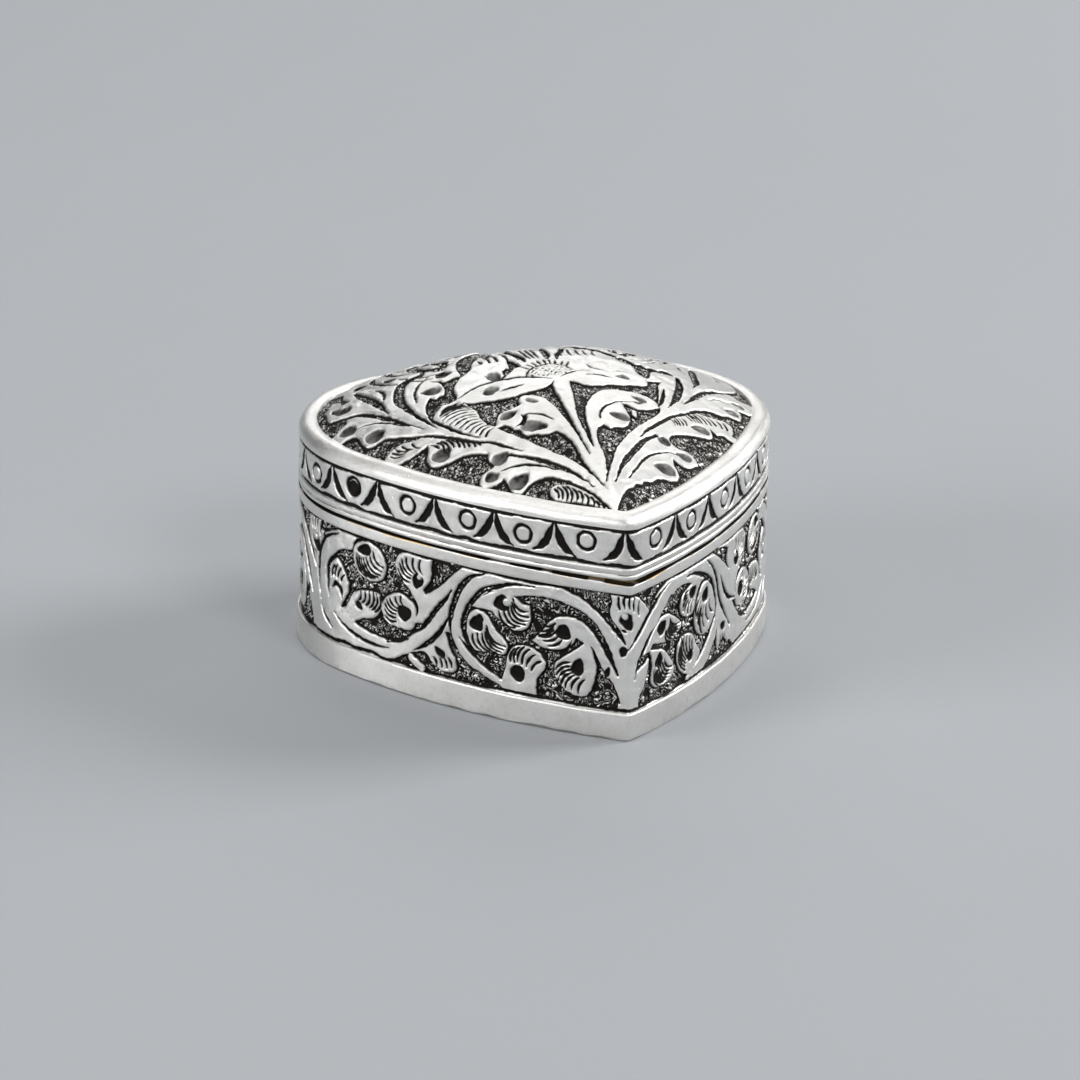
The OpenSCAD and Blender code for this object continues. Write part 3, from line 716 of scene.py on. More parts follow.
    # outer spray
    lid.channel(0.66, (-14.6, -9.1), (-16, -6.8), (-17.3, -4.6), (-18.4, -2.7), (-19.4, -1.2),
                (-20.6, -0.4), (-21.8, 0.3), ends=(0.1, 0.8))
    lid.channel(0.85, (-17, -3.9), (-17.25, -1.6), (-17.6, 0.8), (-18, 3.2), (-18.1, 5.6), ends=(0.05, 0.5))
    lid.cut(0.28, (-20.3, -3.8), (-19.5, -3.9), (-18.2, -4.7), (-16.9, -6.2), (-15.8, -7.7))
    lid.eye(-19.1, -6.5, 2.1, 1.9, 20, point=0.2)
    lid.eye(-21.1, -3.3, 1.9, 1.8, 60, point=0.2)
    lid.eye(-20.3, 1.7, 1.9, 1.7, 40, point=0.15)
    lid.sink((-23.6, 5.5), (-22.2, 5), (-21.8, 3.2), (-22.1, 1.2), (-21.6, 0.1), (-20.8, -0.7),
             (-20.9, -1.6), (-21.8, -2.1), (-22.6, -2.8), (-24, -3.2))


def panel_right(lid):
    """Foliage right of the middle stem, from the point up to the widest line."""
    lid.sink((-0.3, -21.4), (-0.34, -18), (-0.28, -16), (-0.05, -14.3), (0.35, -12.6), (0.7, -10.8),
             (0.95, -9.2), (1.2, -7.9), (1.9, -8.1), (2.7, -8.7), (3.7, -8.8), (5.4, -8.2), (7.5, -7.7),
             (9.8, -7), (10.5, -5.7), (12, -5.3), (11.3, -6.4), (11, -7.6), (10.5, -9), (9.9, -10.9),
             (9.4, -10.2), (8.4, -9.5), (6.8, -9.3), (5, -9.5), (3.7, -10.1), (2.7, -11.1), (1.9, -12.3),
             (1.2, -13.6), (0.65, -15.2), (0.25, -17.2), (0, -19.4))
    lid.sink((-0.6, -26.7), (0, -24.9), (0.45, -22.7), (0.5, -20.6), (0.8, -18.9), (1.4, -17.6), (2.1, -17),
             (2.7, -17.6), (3.2, -17.2), (4.2, -17), (5, -16.3), (5.55, -15), (5.65, -13.6), (5.5, -12.1),
             (6.2, -12.3), (7, -12.8), (8.2, -12.6), (9.8, -11.6), (9.4, -12.7), (8.2, -14.1), (6.6, -15.7),
             (5, -17.4), (3.4, -19.4), (2, -21.4), (0.9, -23.7))
    lid.leaf((5.95, -14.2), (6.2, -13.2), (6.75, -13.3), (6.4, -14.8))
    lid.eye(4.4, -15, 2.2, 1.7, 160)
    lid.cut(0.3, (2, -16.1), (2.4, -14.8), (3.3, -13.4), (4.9, -12.1), (6.9, -11.5))
    lid.eye(7.8, -10.7, 1.7, 1.2, 150)
    lid.cut(0.34, (8.3, -11.2), (7.6, -11.6), (6.8, -11.5))
    lid.channel(0.58, (7.6, -17.4), (6, -18.7), (4.6, -20.4), (3.2, -22.2), (1.9, -24), (0.3, -26.9),
                ends=(0.7, 0.1))
    lid.cut(0.32, (9.3, -20.2), (8, -20.1), (6.5, -20.8), (5, -22), (3.3, -24.2), (2, -25.9))
    lid.channel(0.42, (11.2, -12.5), (10, -13.6), (8.6, -15), (7, -16.6), (5.5, -18.4), ends=(0.9, 0.1))
    lid.eye(13.5, -13.9, 2.1, 1.5, 190)
    lid.eye(8.2, -18.2, 1.7, 1.35, 80, point=0.15)
    lid.eye(9.7, -20.1, 1.7, 1.3, 160)
    lid.eye(6.7, -23.1, 2.3, 1.9, 170)
    lid.sink((-0.9, -31.1), (-0.2, -29.9), (0.5, -28.8), (1.3, -27.7), (2, -27.3), (2.6, -26.6),
             (3.2, -26.5), (3.7, -25.9), (4.5, -25.7), (5.1, -25.2), (6, -24.8), (7, -24.8), (7.8, -24.3),
             (8.2, -23.2), (8.1, -22), (8.3, -21), (8.9, -21.7), (9.6, -21.9), (10.4, -21.3), (11, -20.9),
             (11, -19.9), (10.6, -19.1), (9.6, -18.9), (9, -18.3), (9.1, -17.2), (9.8, -16.5), (10.9, -16),
             (12.1, -15.6), (13.4, -15.3), (14.3, -15), (14.8, -14.2), (14.9, -13), (15.4, -13.9),
             (16.1, -13.5), (16.8, -13.9), (18.2, -14.3), (15, -18.6), (9, -26), (2.4, -31.6))
    # plain leaf between the flower and the outer spray
    lid.sink((9.9, -4.9), (9.8, -3.6), (9.6, -2.2), (8.9, -1.4), (8.3, -0.4), (9.2, 0.4), (9.9, -0.4),
             (10.3, -1.4), (11, -1.2), (11.4, -2), (12, -1.6), (12.6, -2.1), (13.4, -1.5), (14.1, -1.9),
             (14.2, -2.7), (13, -2.8), (12, -2.8), (11.4, -3.3), (11.1, -4.2), (10.6, -5))
    lid.channel(0.34, (9.7, -11.5), (10.5, -10.1), (11.2, -8.5), (11.8, -6.9))
    lid.channel(0.75, (10.9, -11.1), (12.2, -9.2), (13.1, -7.5), (13.8, -5.9), (14.3, -4.4), (14.5, -2.8),
                ends=(0.1, 0.5))
    lid.channel(0.6, (13.1, -9.4), (14.5, -7.8), (15.8, -6.2), (17.2, -4.7), (18.6, -3.6), (20.3, -2.6),
                ends=(0.1, 0.6))
    lid.channel(0.8, (15.8, -4.5), (16.6, -3), (17, -1.5), (17.4, 0.5), (18.1, 2.8), (18.7, 5.4),
                ends=(0.05, 0.5))
    lid.sink((20, -2.3), (21, -1.5), (22, -0.2), (22.6, 1.6), (22.6, 4), (24, 4), (24, -3), (22.2, -3.6),
             (20.8, -3.3))
    lid.cut(0.22, (16.8, -6.4), (18.3, -5.6), (19.8, -5.2))
    lid.eye(19, -7.6, 1.7, 1.2, 180)
    lid.eye(20.5, -5.2, 1.5, 1.1, 180)
    lid.sink((20.3, -6.6), (20.2, -7.6), (19.6, -8.8), (18.4, -8.8), (17.4, -9.1), (16.2, -9.1), (15, -9.6),
             (13.9, -10.2), (12.9, -11.1), (11.8, -11.8), (10.5, -13), (11.6, -12.5), (13, -11.4),
             (14.4, -10.6), (16.2, -10.5), (17.6, -10.6), (18, -11.2), (17.4, -12.9), (18.6, -13),
             (21.4, -8.6), (22, -6.4))
    lid.fan(9, [(12.4, -11.9), (14, -10.9), (17.5, -10.9)], [(12.8, -12.8), (14.8, -12.3), (17.4, -12.1)],
            0.1, 0.3)
    lid.fan(5, [(10.3, -13.6), (11, -13.1), (12.1, -12.6)], [(10.4, -14.6), (11.2, -14.3), (12.3, -13.8)],
            0.15, 0.2)


def flower(lid):
    """The flower at the crown: two sepals, a stippled heart and its petals."""
    lid.cut(0.42, (-10.3, -6.4), (-9, -5.75), (-7.2, -5.3), (-5, -5.4), (-3, -5.9), (-1.6, -6.6),
            (-0.5, -7.3))
    lid.eye(-7, -6.9, 1.8, 1.5, 200)
    lid.eye(-7.2, -7.5, 0.7, 1.0, 270, point=0.2)
    lid.cut(0.42, (-6.2, -7.6), (-4.8, -7.5), (-3.5, -7.5))
    lid.eye(-5.9, -4.3, 2.3, 1.4, 280, point=0.2)
    lid.cut(0.3, (-5.8, -5.2), (-5.1, -5), (-4.6, -4.4), (-3.8, -3.8))
    lid.sink((-4.8, -4.6), (-4.7, -3.4), (-4.2, -2.8), (-3.8, -3.1), (-3.7, -2), (-3.5, -0.8), (-3, -1.6),
             (-2.7, -3.1), (-3.4, -3.5), (-4.2, -4))
    lid.cut(0.3, (-2.9, -6), (-2.5, -5), (-1.8, -4.2), (-0.7, -3.6), (0.6, -3.5), (1.7, -4), (2.4, -5.1))
    lid.stipple((-2.7, -5.9), (-2.3, -4.8), (-1.4, -3.9), (0, -3.5), (1.4, -3.9), (2.3, -5), (1.5, -6),
                (0, -6.7), (-1.5, -6.3))
    lid.fan(9, [(-2.3, -4.3), (0, -3.2), (2.3, -4.2)], [(-3, -3.5), (0, -2.3), (2.9, -3.2)], 0.0, 0.24)
    lid.cut(0.3, (0.4, -7), (1.5, -6.1), (2.7, -5.4), (4.2, -5))
    lid.cut(0.42, (3.3, -6.2), (4.8, -6.1), (6.3, -6.5))
    lid.eye(7.5, -5.9, 1.6, 1.2, 190)
    lid.channel(0.35, (4.4, -3.4), (4.7, -4.2), (5.5, -4.7), (6.3, -4.9))
    lid.cut(0.25, (6.8, -4.6), (7.7, -4.55), (8.7, -4.5))
    # petals over the heart, and the ground behind them
    lid.channel(0.6, (-1.9, -2.2), (-2, -0.8), (-2.6, 0.8), (-3, 2.4), ends=(0.2, 0.9))
    lid.channel(0.7, (0.5, -2.1), (0.8, -0.8), (0.9, 0.8), (0.8, 2.4), ends=(0.2, 0.9))
    lid.channel(0.5, (1.6, -2.1), (2, -0.6), (2.8, 0.6), (3.3, 2), ends=(0.2, 0.9))
    lid.sink((-8.7, -2.3), (-8.7, -1.2), (-8.6, 0.2), (-8.3, 1.4), (-7.9, 2.6), (-6.6, 4.3), (-4.6, 5.6),
             (-2.4, 6.2), (0, 6.9), (2.4, 6.2), (4.7, 5.4), (6.6, 4), (8, 2.2), (8.9, 0.6), (8.3, -0.2),
             (7.4, 0.6), (6.9, 1.6), (6.3, 0.9), (5.8, 2.2), (4.9, 1.6), (4.3, 2.8), (3.3, 2.1), (2.4, 3.3),
             (1, 2.6), (-0.6, 3.7), (-2.6, 2.6), (-4.3, 2.9), (-4.9, 1.1), (-5.4, 0.9), (-5.8, 2.4),
             (-6.2, 1.3), (-6.8, 0.7), (-7.2, -0.2), (-7.6, -1.2))
    for side in (-1, 1):
        lid.fan(5, [(1.9 * side, -1.4), (4.5 * side, -0.9), (6.6 * side, -0.6)],
                [(2.6 * side, 1.6), (4.6 * side, 1.5), (6.7 * side, 0.6)], 0.05 * side, 0.26)
    lid.fan(3, [(-1.4, -1.6), (0, -1.4)], [(-1.8, 1.9), (0.1, 2.1)], 0.03, 0.26)


def lobe_spray(lid):
    """Foliage of one lobe behind the flower, drawn on the +X side."""
    lid.sink((0, 8.4), (1.6, 8.2), (3.4, 8.4), (5.1, 9.2), (6.2, 10.6), (6, 12), (4.8, 12.7), (3.4, 12.3),
             (1.8, 10.6))
    lid.leaf((1.6, 9.2), (3, 9.1), (4.4, 9.8), (5, 11), (4.2, 11.7), (3, 11.2), (2, 10.2))
    lid.fan(6, [(2.1, 9.4), (3.6, 9.5), (4.8, 10.8)], [(2.4, 10.5), (3.2, 11.1), (4, 11.5)], 0.12)
    lid.sink((9.9, 1), (11.2, 2.2), (12.2, 4), (12.4, 6.2), (11.4, 8.2), (9.6, 9.6), (7.6, 9.9), (6.9, 8.8),
             (8, 8), (9, 6.8), (9.6, 5), (9.4, 3.2), (8.7, 2.6))
    lid.leaf((9.6, 2.6), (10.8, 3.6), (11.4, 5.2), (11, 6.8), (9.9, 8), (9.4, 6.8), (10, 5.2), (9.8, 3.8))
    lid.eye(10.5, 5.6, 1.7, 1.0, 100)
    lid.channel(0.6, (12.1, 3.2), (13.6, 5.4), (13.9, 7.8), (12.8, 10), (10.8, 11.5), (8.4, 12.2),
                ends=(0.1, 0.5))
    lid.channel(0.5, (13.9, 1), (15.3, 3.4), (15.9, 6), (15.4, 8.6), (13.8, 11), (11.4, 12.8),
                ends=(0.1, 0.5))
    lid.eye(14.7, 4.6, 1.9, 1.1, 70)
    lid.eye(14.3, 9.2, 1.9, 1.1, 120)
    lid.eye(9.3, 11.0, 1.6, 1.0, 170)
    lid.fan(8, [(12.4, 4.8), (13, 7.4), (11.6, 9.6)], [(13.4, 5.2), (13.7, 7.6), (12.5, 10)], 0.1)
    lid.eye(17.2, 7.2, 2.0, 1.3, 80)
    lid.eye(15.6, 12, 1.8, 1.2, 130)
    lid.fan(8, [(16, 3.4), (16.6, 5.2), (16.4, 8.8), (15, 11)],
            [(17.2, 3.4), (18.2, 6), (17.6, 9.6), (16, 11.6)], 0.1)
    lid.sink((19.2, 3.6), (19.4, 5.6), (18.9, 7.6), (19.6, 8.6), (19, 9.6), (17.9, 9.7), (17, 10.8),
             (17, 12), (15.8, 13.1), (14.4, 13.4), (12.8, 14.1), (10.8, 14.3), (9, 13.9), (9, 15.5),
             (16, 16), (22, 11), (23, 4.5), (21.6, 4), (20.6, 5.8), (19.9, 5), (20, 3.6))
    lid.eye(20.9, 2.6, 1.6, 1.0, 80)
    # the ring of leaves that stands behind the flower
    lid.channel(0.7, (9.6, 2.2), (8.9, 3.8), (9.6, 4.9), (10, 5.6), ends=(0.9, 0.3))
    lid.channel(0.75, (7.2, 4.8), (6.9, 6), (7.4, 7.2), (8.2, 8), ends=(0.9, 0.6))
    lid.channel(0.75, (4.4, 6.2), (4.3, 7.3), (4.9, 8.4), (5.4, 9.4), ends=(0.9, 0.6))
    lid.channel(0.7, (1.3, 6.8), (1.3, 7.8), (1.6, 8.8), ends=(0.9, 0.5))
    lid.eye(8.1, 5.5, 1.3, 0.9, 60)
    lid.eye(5.8, 7.7, 1.3, 0.9, 80)
    lid.eye(2.9, 8.1, 1.3, 0.9, 100)
    lid.fan(4, [(9, 2.6), (8.6, 3.6), (7.8, 4.4)], [(8.6, 2.2), (7.7, 3.2), (7, 4.2)], 0.05, 0.24)
    lid.fan(4, [(6.9, 5.4), (6.1, 6.4), (5.1, 7.2)], [(6.2, 4.9), (5.2, 5.8), (4.6, 6.3)], 0.05, 0.24)
    lid.fan(4, [(4, 7.2), (2.9, 7.4), (1.8, 7.9)], [(3.6, 6.2), (2.7, 6.6), (1.7, 7)], 0.05, 0.24)
    lid.channel(0.6, (6, 9.6), (7.2, 10.5), (8.1, 11.7), (8.4, 13.2), ends=(0.8, 0.5))
    lid.eye(7.0, 12.4, 1.7, 1.1, 100)
    lid.fan(5, [(5.6, 11.2), (6.6, 10.9), (7.6, 11.6)], [(5.8, 12.8), (6.6, 13.4), (7.8, 13.6)], 0.05, 0.24)
    # veins of the broad leaf outside them
    lid.cut(0.34, (9.6, 0.6), (11.2, 0.6), (12.8, 1.8), (14, 3.6))
    lid.cut(0.3, (11.4, -0.4), (12.6, 0.4), (13.6, 1.6))
    lid.cut(0.34, (16.6, -0.6), (16.2, 1.2), (16.6, 3))


def carve_panel():
    lid = Sheet(-PANEL_SIDE, PANEL_SIDE, PANEL_FRONT, PANEL_BACK + 0.5, 51)
    panel_left(lid)
    panel_right(lid)
    flower(lid)
    lobe_spray(lid)
    lid.place(0, -1)
    lobe_spray(lid)
    lid.place()
    return lid, lid.finish(0.48, cut_depth=0.2, tarnish=0.7, mat=0.5, stroke=0.38, patch=0.8, dents=0.08)


# ---- meshes ----------------------------------------------------------------------

def make_mesh(name, points, faces, patina_and_shade=None, gilding=None):
    """A smooth-shaded object from points in mm, with how black and how gilt it is at each: the black is
    patina in the hollows, and painted shade along the seam between lid and body.
    """
    mesh = bpy.data.meshes.new(name)
    mesh.from_pydata((np.asarray(points) * MM).tolist(), [], [list(f) for f in faces])
    mesh.polygons.foreach_set("use_smooth", [True] * len(mesh.polygons))
    for quantity, values in (("patina_and_shade", patina_and_shade), ("gilding", gilding)):
        if values is not None:
            attribute = mesh.attributes.new(quantity, "FLOAT", "POINT")
            attribute.data.foreach_set("value", np.asarray(values, np.float32))
    mesh.validate()
    mesh.update()
    piece = bpy.data.objects.new(name, mesh)
    bpy.context.scene.collection.objects.link(piece)
    return piece


def tube_faces(rings, columns):
    """Faces of a closed tube: rings of columns, the last ring joined back to the first."""
    i = np.arange(rings)[:, None]
    j = np.arange(columns)[None, :]
    up, along = (i + 1) % rings, (j + 1) % columns
    corners = [i * columns + j, i * columns + along, up * columns + along, up * columns + j]
    return np.stack(np.broadcast_arrays(*corners), -1).reshape(-1, 4).tolist()


def plain_ring(name, section, tip_r, shift=None, shade=None, gild=None):
    """A plain strip round the box. section is a closed list of (inset, z).

    shift(s, inset, z) moves its points in z, and shade and gild say how black and how gilt they are.
    """
    outline = Outline(tip_r, PLAIN_GRID)
    rings, patina_and_shade, gilding = [], [], []
    for inset, z in section:
        p, _ = outline.ring(inset)
        height = np.full(len(p), float(z))
        if shift is not None:
            height += shift(outline.s, inset, z)
        rings.append(np.column_stack([p, height]))
        patina_and_shade.append(np.zeros(len(p)) if shade is None else shade(outline.s, inset, z))
        gilding.append(np.zeros(len(p)) if gild is None else gild(outline.s, inset, z))
    faces = tube_faces(len(rings), len(outline.s))
    return make_mesh(name, np.vstack(rings), faces, np.concatenate(patina_and_shade), np.concatenate(gilding))


def strip_section(outer, inner, z0, z1, edge, groove=None):
    """Section of a strip with outer edges rounded by edge, and a scored line at height groove if asked."""
    turns = np.linspace(0, math.pi / 2, 6)
    low = [(outer + edge * (1 - math.sin(a)), z0 + edge * (1 - math.cos(a))) for a in turns]
    high = [(outer + edge * (1 - math.cos(a)), z1 - edge * (1 - math.sin(a))) for a in turns]
    if groove is None:
        middle = [(outer, z0 + edge + (z1 - z0 - 2 * edge) * t) for t in (0.33, 0.67)]
    else:
        middle = [(outer + 0.09 * (1 - abs(k) / 2), groove + 0.06 * k) for k in (-2, -1, 0, 1, 2)]
    return low + middle + high + [(inner, z1), (inner, 0.5 * (z0 + z1)), (inner, z0)]


def waves(s, seed, length):
    """Slow unevenness along the outline, from 0 to 1, that joins up at the cleft."""
    rng = np.random.default_rng(seed)
    turn = 2 * math.pi * s / (s[-1] - s[0] + PLAIN_GRID)
    total = np.zeros(len(s))
    most = int((s[-1] - s[0]) / length)
    for k in range(1, most + 1):
        total += rng.standard_normal() * np.sin(k * turn + rng.uniform(0, 2 * math.pi))
    return ramp(-2.5, 2.5, total / total.std())


def chased_ring(name, outline, sheet, fields, rows, thick, bottom):
    """A chased strip round the box, from a sheet laid out by (s, z) and its height and patina."""
    sheet_height, sheet_patina = fields
    rings, patina_and_shade = [], []
    p0, normal = outline.ring(0.0)
    if bottom < rows[0]:
        rings.append(np.column_stack([p0, np.full(len(p0), bottom)]))
        patina_and_shade.append(np.zeros(len(p0)))
    for z in rows:
        z_all = np.full(len(p0), z)
        height = sheet.sample(sheet_height, outline.s, z_all)
        rings.append(np.column_stack([p0 + height[:, None] * normal, z_all]))
        patina_and_shade.append(sheet.sample(sheet_patina, outline.s, z_all))
    inner, _ = outline.ring(thick)
    for z in np.linspace(rows[-1], bottom, 8):
        rings.append(np.column_stack([inner, np.full(len(inner), z)]))
        patina_and_shade.append(np.zeros(len(inner)))
    return make_mesh(name, np.vstack(rings), tube_faces(len(rings), len(p0)), np.concatenate(patina_and_shade))


def reach(x, y, outline_points):
    """How far a point lies from the crown, as a share of the way to a closed outline."""
    turn = np.arctan2(outline_points[:, 1] - DOME_Y, outline_points[:, 0])
    far = np.hypot(outline_points[:, 0], outline_points[:, 1] - DOME_Y)
    order = np.argsort(turn)
    radius = np.interp(np.arctan2(y - DOME_Y, x), turn[order], far[order], period=2 * math.pi)
    return np.hypot(x, y - DOME_Y) / radius


VALLEY = 2.6           # the dome sinks to the cleft within about this distance


def dome_fall(x, y):
    """Fall of the dome, from 0 at the crown to 1 at its edge, with a soft valley down to the cleft."""
    edge, _ = Outline(2.5, 0.5).ring(PANEL_IN + 0.03)
    bridged = edge.copy()
    between = (np.abs(edge[:, 0]) < LOBE_C[0]) & (edge[:, 1] > 0)
    bridged[between, 1] = edge[:, 1].max()
    to_back = 0.5 + 0.5 * np.sin(np.arctan2(y - DOME_Y, x))
    power = 2.0 - 0.4 * to_back
    heart, smooth = np.clip(reach(x, y, edge), 0, 1), reach(x, y, bridged) ** power
    from_cleft = np.hypot(x, y - CLEFT_C[1]) - CLEFT_R - PANEL_IN
    valley = smooth + (1 - smooth) * np.exp(-(np.maximum(from_cleft, 0) / VALLEY) ** 2)
    share = heart ** 12
    return share * heart ** power + (1 - share) * valley


def panel_grid(edge):
    """A square grid that fills a closed outline: the x and y of its points, and its quads."""
    xs = np.arange(-PANEL_SIDE, PANEL_SIDE + 0.01, GRID)
    ys = np.arange(PANEL_FRONT, PANEL_BACK + 0.01, GRID)
    inside = inside_grid(xs, ys, edge)
    cells = inside[:-1, :-1] & inside[1:, :-1] & inside[:-1, 1:] & inside[1:, 1:]
    x, y = np.meshgrid(xs, ys)
    index = np.arange(x.size).reshape(x.shape)
    quads = np.stack([index[:-1, :-1], index[:-1, 1:], index[1:, 1:], index[1:, :-1]], -1)[cells]
    used, quads = np.unique(quads, return_inverse=True)
    return x.ravel()[used], y.ravel()[used], quads.reshape(-1, 4)


def outer_loop(quads):
    """The points round the edge of a patch of quads, in order."""
    sides = np.vstack([quads[:, [k, (k + 1) % 4]] for k in range(4)])
    keys = {(a, b) for a, b in sides.tolist()}
    follow = {a: b for a, b in keys if (b, a) not in keys}
    loop = [next(iter(follow))]
    while follow[loop[-1]] != loop[0]:
        loop.append(follow[loop[-1]])
    return np.array(loop)


def underside(px, py, loop):
    """The panel's plain underside, in rings from the loop in to the crown: its points and faces."""
    points, faces = [], []
    start = len(px)
    last = loop
    for t in np.linspace(1.0, 0.06, 16):
        qx, qy = px[loop] * t, DOME_Y + (py[loop] - DOME_Y) * t
        under = PANEL_Z - DOME_T + DOME_RISE * (1 - dome_fall(qx, qy))
        points.append(np.column_stack([qx, qy, under]))
        ring = start + np.arange(len(loop))
        faces.append(np.column_stack([last, ring, np.roll(ring, -1), np.roll(last, -1)]))
        start += len(loop)
        last = ring
    points.append(np.array([[0.0, DOME_Y, PANEL_Z - DOME_T + DOME_RISE]]))
    fan = np.column_stack([last, np.full(len(last), start), np.roll(last, -1)])
    return np.vstack(points), np.vstack(faces).tolist() + fan.tolist()


def chased_dome(lid, fields):
    """The domed panel: a fine grid for the chased top, whose edge goes under the border, and an underside."""
    height, patina_and_shade = fields
    edge, _ = Outline(LID_TIP_R, GRID).ring(PANEL_IN - 0.12)
    px, py, quads = panel_grid(edge)
    loop = outer_loop(quads)
    near = np.array([np.argmin((edge[:, 0] - px[i]) ** 2 + (edge[:, 1] - py[i]) ** 2) for i in loop])
    px[loop], py[loop] = edge[near, 0], edge[near, 1]
    rise = (DOME_RISE - LEAF_RISE) * (1 - dome_fall(px, py))
    top = PANEL_Z + LEAF_RISE + rise + lid.sample(height, px, py)
    under, under_faces = underside(px, py, loop)
    points = np.vstack([np.column_stack([px, py, top]), under])
    shade = np.concatenate([lid.sample(patina_and_shade, px, py), np.zeros(len(under))])
    return make_mesh("chased_dome", points, quads.tolist() + under_faces, shade)


# ---- materials ---------------------------------------------------------------------

class Shader:
    """A node material with short calls to add and join nodes."""

    def __init__(self, name):
        self.material = bpy.data.materials.new(name)
        self.material.use_nodes = True
        self.tree = self.material.node_tree
        self.surface = self.tree.nodes["Principled BSDF"]
        place = self.tree.nodes.new("ShaderNodeTexCoord")
        self.place = place.outputs["Object"]

    def link(self, a, b):
        self.tree.links.new(a, b)

    def noise(self, per_mm, detail=3.0, roughness=0.55, stretch=None):
        """Noise with that many features per mm, stretched along an axis if asked."""
        node = self.tree.nodes.new("ShaderNodeTexNoise")
        node.inputs["Scale"].default_value = per_mm / MM
        node.inputs["Detail"].default_value = detail
        node.inputs["Roughness"].default_value = roughness
        source = self.place
        if stretch is not None:
            mapping = self.tree.nodes.new("ShaderNodeMapping")
            mapping.inputs["Scale"].default_value = stretch[0]
            mapping.inputs["Rotation"].default_value = stretch[1]
            self.link(self.place, mapping.inputs["Vector"])
            source = mapping.outputs["Vector"]
        self.link(source, node.inputs["Vector"])
        return node.outputs["Fac"]

    def map(self, value, low, high, to_low, to_high):
        """The value carried from one range to another, and held inside it."""
        node = self.tree.nodes.new("ShaderNodeMapRange")
        for socket, number in zip(("From Min", "From Max", "To Min", "To Max"), (low, high, to_low, to_high)):
            node.inputs[socket].default_value = number
        self.link(value, node.inputs["Value"])
        return node.outputs["Result"]

    def math(self, operation, a, b):
        """The result of an operation on two values, either of which may be a number."""
        node = self.tree.nodes.new("ShaderNodeMath")
        node.operation = operation
        for socket, value in zip(node.inputs, (a, b)):
            if isinstance(value, (int, float)):
                socket.default_value = value
            else:
                self.link(value, socket)
        return node.outputs[0]

    def mix(self, factor, a, b):
        """Colour a where the factor is 0 and b where it is 1."""
        node = self.tree.nodes.new("ShaderNodeMix")
        node.data_type = "RGBA"
        self.link(factor, node.inputs["Factor"])
        for socket, value in zip((node.inputs[6], node.inputs[7]), (a, b)):
            if isinstance(value, tuple):
                socket.default_value = (*value, 1)
            else:
                self.link(value, socket)
        return node.outputs[2]

    def bump(self, heights):
        """Bumps laid over each other: (height, strength, depth in mm)."""
        before = None
        for height, strength, depth in heights:
            node = self.tree.nodes.new("ShaderNodeBump")
            node.inputs["Strength"].default_value = strength
            node.inputs["Distance"].default_value = depth * MM
            self.link(height, node.inputs["Height"])
            if before is not None:
                self.link(before, node.inputs["Normal"])
            before = node.outputs["Normal"]
        self.link(before, self.surface.inputs["Normal"])


def scratches(shader):
    """Long fine handling scratches in two directions."""
    one = shader.noise(0.9, 4, 0.75, ((1, 16, 16), (0.2, 0.1, 0.5)))
    two = shader.noise(1.1, 4, 0.75, ((16, 1, 16), (0.1, 0.3, -0.3)))
    return shader.math("ADD", shader.map(one, 0.54, 0.64, 0, 1), shader.map(two, 0.55, 0.64, 0, 1))


def layer(shader, name):
    """A quantity that the mesh carries at its points."""
    node = shader.tree.nodes.new("ShaderNodeAttribute")
    node.attribute_name = name
    return node.outputs["Fac"]


GILT = (0.90, 0.58, 0.22)


def metal(name, bright, dull, dark, rough=0.3, worn=0.12, bumps=1.0):
    """Metal with an uneven polish and fine scratches, gilt and black where the piece's layers say so."""
    shader = Shader(name)
    shader.surface.inputs["Metallic"].default_value = 1.0
    cloud = shader.map(shader.noise(0.16, 5, 0.6), 0.35, 0.7, 0, 1)
    film = shader.map(shader.noise(1.6, 8, 0.75), 0.5, 0.8, 0, 0.35)
    pits = shader.map(shader.noise(1.3, 4, 0.6), 0.68, 0.78, 0, 1)
    colour = shader.mix(film, shader.mix(cloud, bright, dull), tuple(0.45 * c for c in dull))
    marks = scratches(shader)
    colour = shader.mix(layer(shader, "gilding"), colour, GILT)
    gloss = shader.map(shader.noise(0.8, 6, 0.7), 0.3, 0.75, rough, rough + worn)
    # The black layer is patina in the chased hollows, and painted shade along the seam under the lid.
    patina_and_shade = layer(shader, "patina_and_shade")
    uneven = shader.map(shader.noise(1.2, 5, 0.7), 0.3, 0.7, 0.88, 1.06)
    black = shader.map(shader.math("MULTIPLY", patina_and_shade, uneven), 0.12, 0.7, 0, 1)
    colour = shader.mix(black, colour, dark)
    gloss = shader.math("ADD", gloss, shader.map(patina_and_shade, 0.2, 0.8, 0, 0.22))
    shader.bump([(shader.noise(0.35, 3), 0.35 * bumps, 0.12),
                 (shader.noise(2.2, 6, 0.65), 0.6 * bumps, 0.05),
                 (marks, 0.5, 0.02),
                 (pits, -0.5 * bumps, 0.04)])
    shader.link(colour, shader.surface.inputs["Base Color"])
    shader.link(gloss, shader.surface.inputs["Roughness"])
    return shader.material


def floor_material():
    """Pale grey paper with a very faint tooth."""
    shader = Shader("pale_paper")
    shader.surface.inputs["Specular IOR Level"].default_value = 0.25
    colour = shader.mix(shader.noise(0.01, 3), (0.352, 0.364, 0.38), (0.367, 0.38, 0.396))
    shader.link(colour, shader.surface.inputs["Base Color"])
    shader.link(shader.map(shader.noise(2.0, 3), 0.3, 0.7, 0.75, 0.85), shader.surface.inputs["Roughness"])
    shader.bump([(shader.noise(3.0, 3), 0.1, 0.05)])
    return shader.material


def dress(piece, material):
    """Gives a piece its one material."""
    piece.data.materials.clear()
    piece.data.materials.append(material)


# ---- the box -------------------------------------------------------------------------

def add(piece, body, node, material):
    """Puts a piece on its body, in place of the CAD node that it shows."""
    dress(piece, material)
    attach(piece, body)
    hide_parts(node)
    return piece


def rows_between(low, high, pitch):
    return np.linspace(low, high, int(round((high - low) / pitch)) + 1)


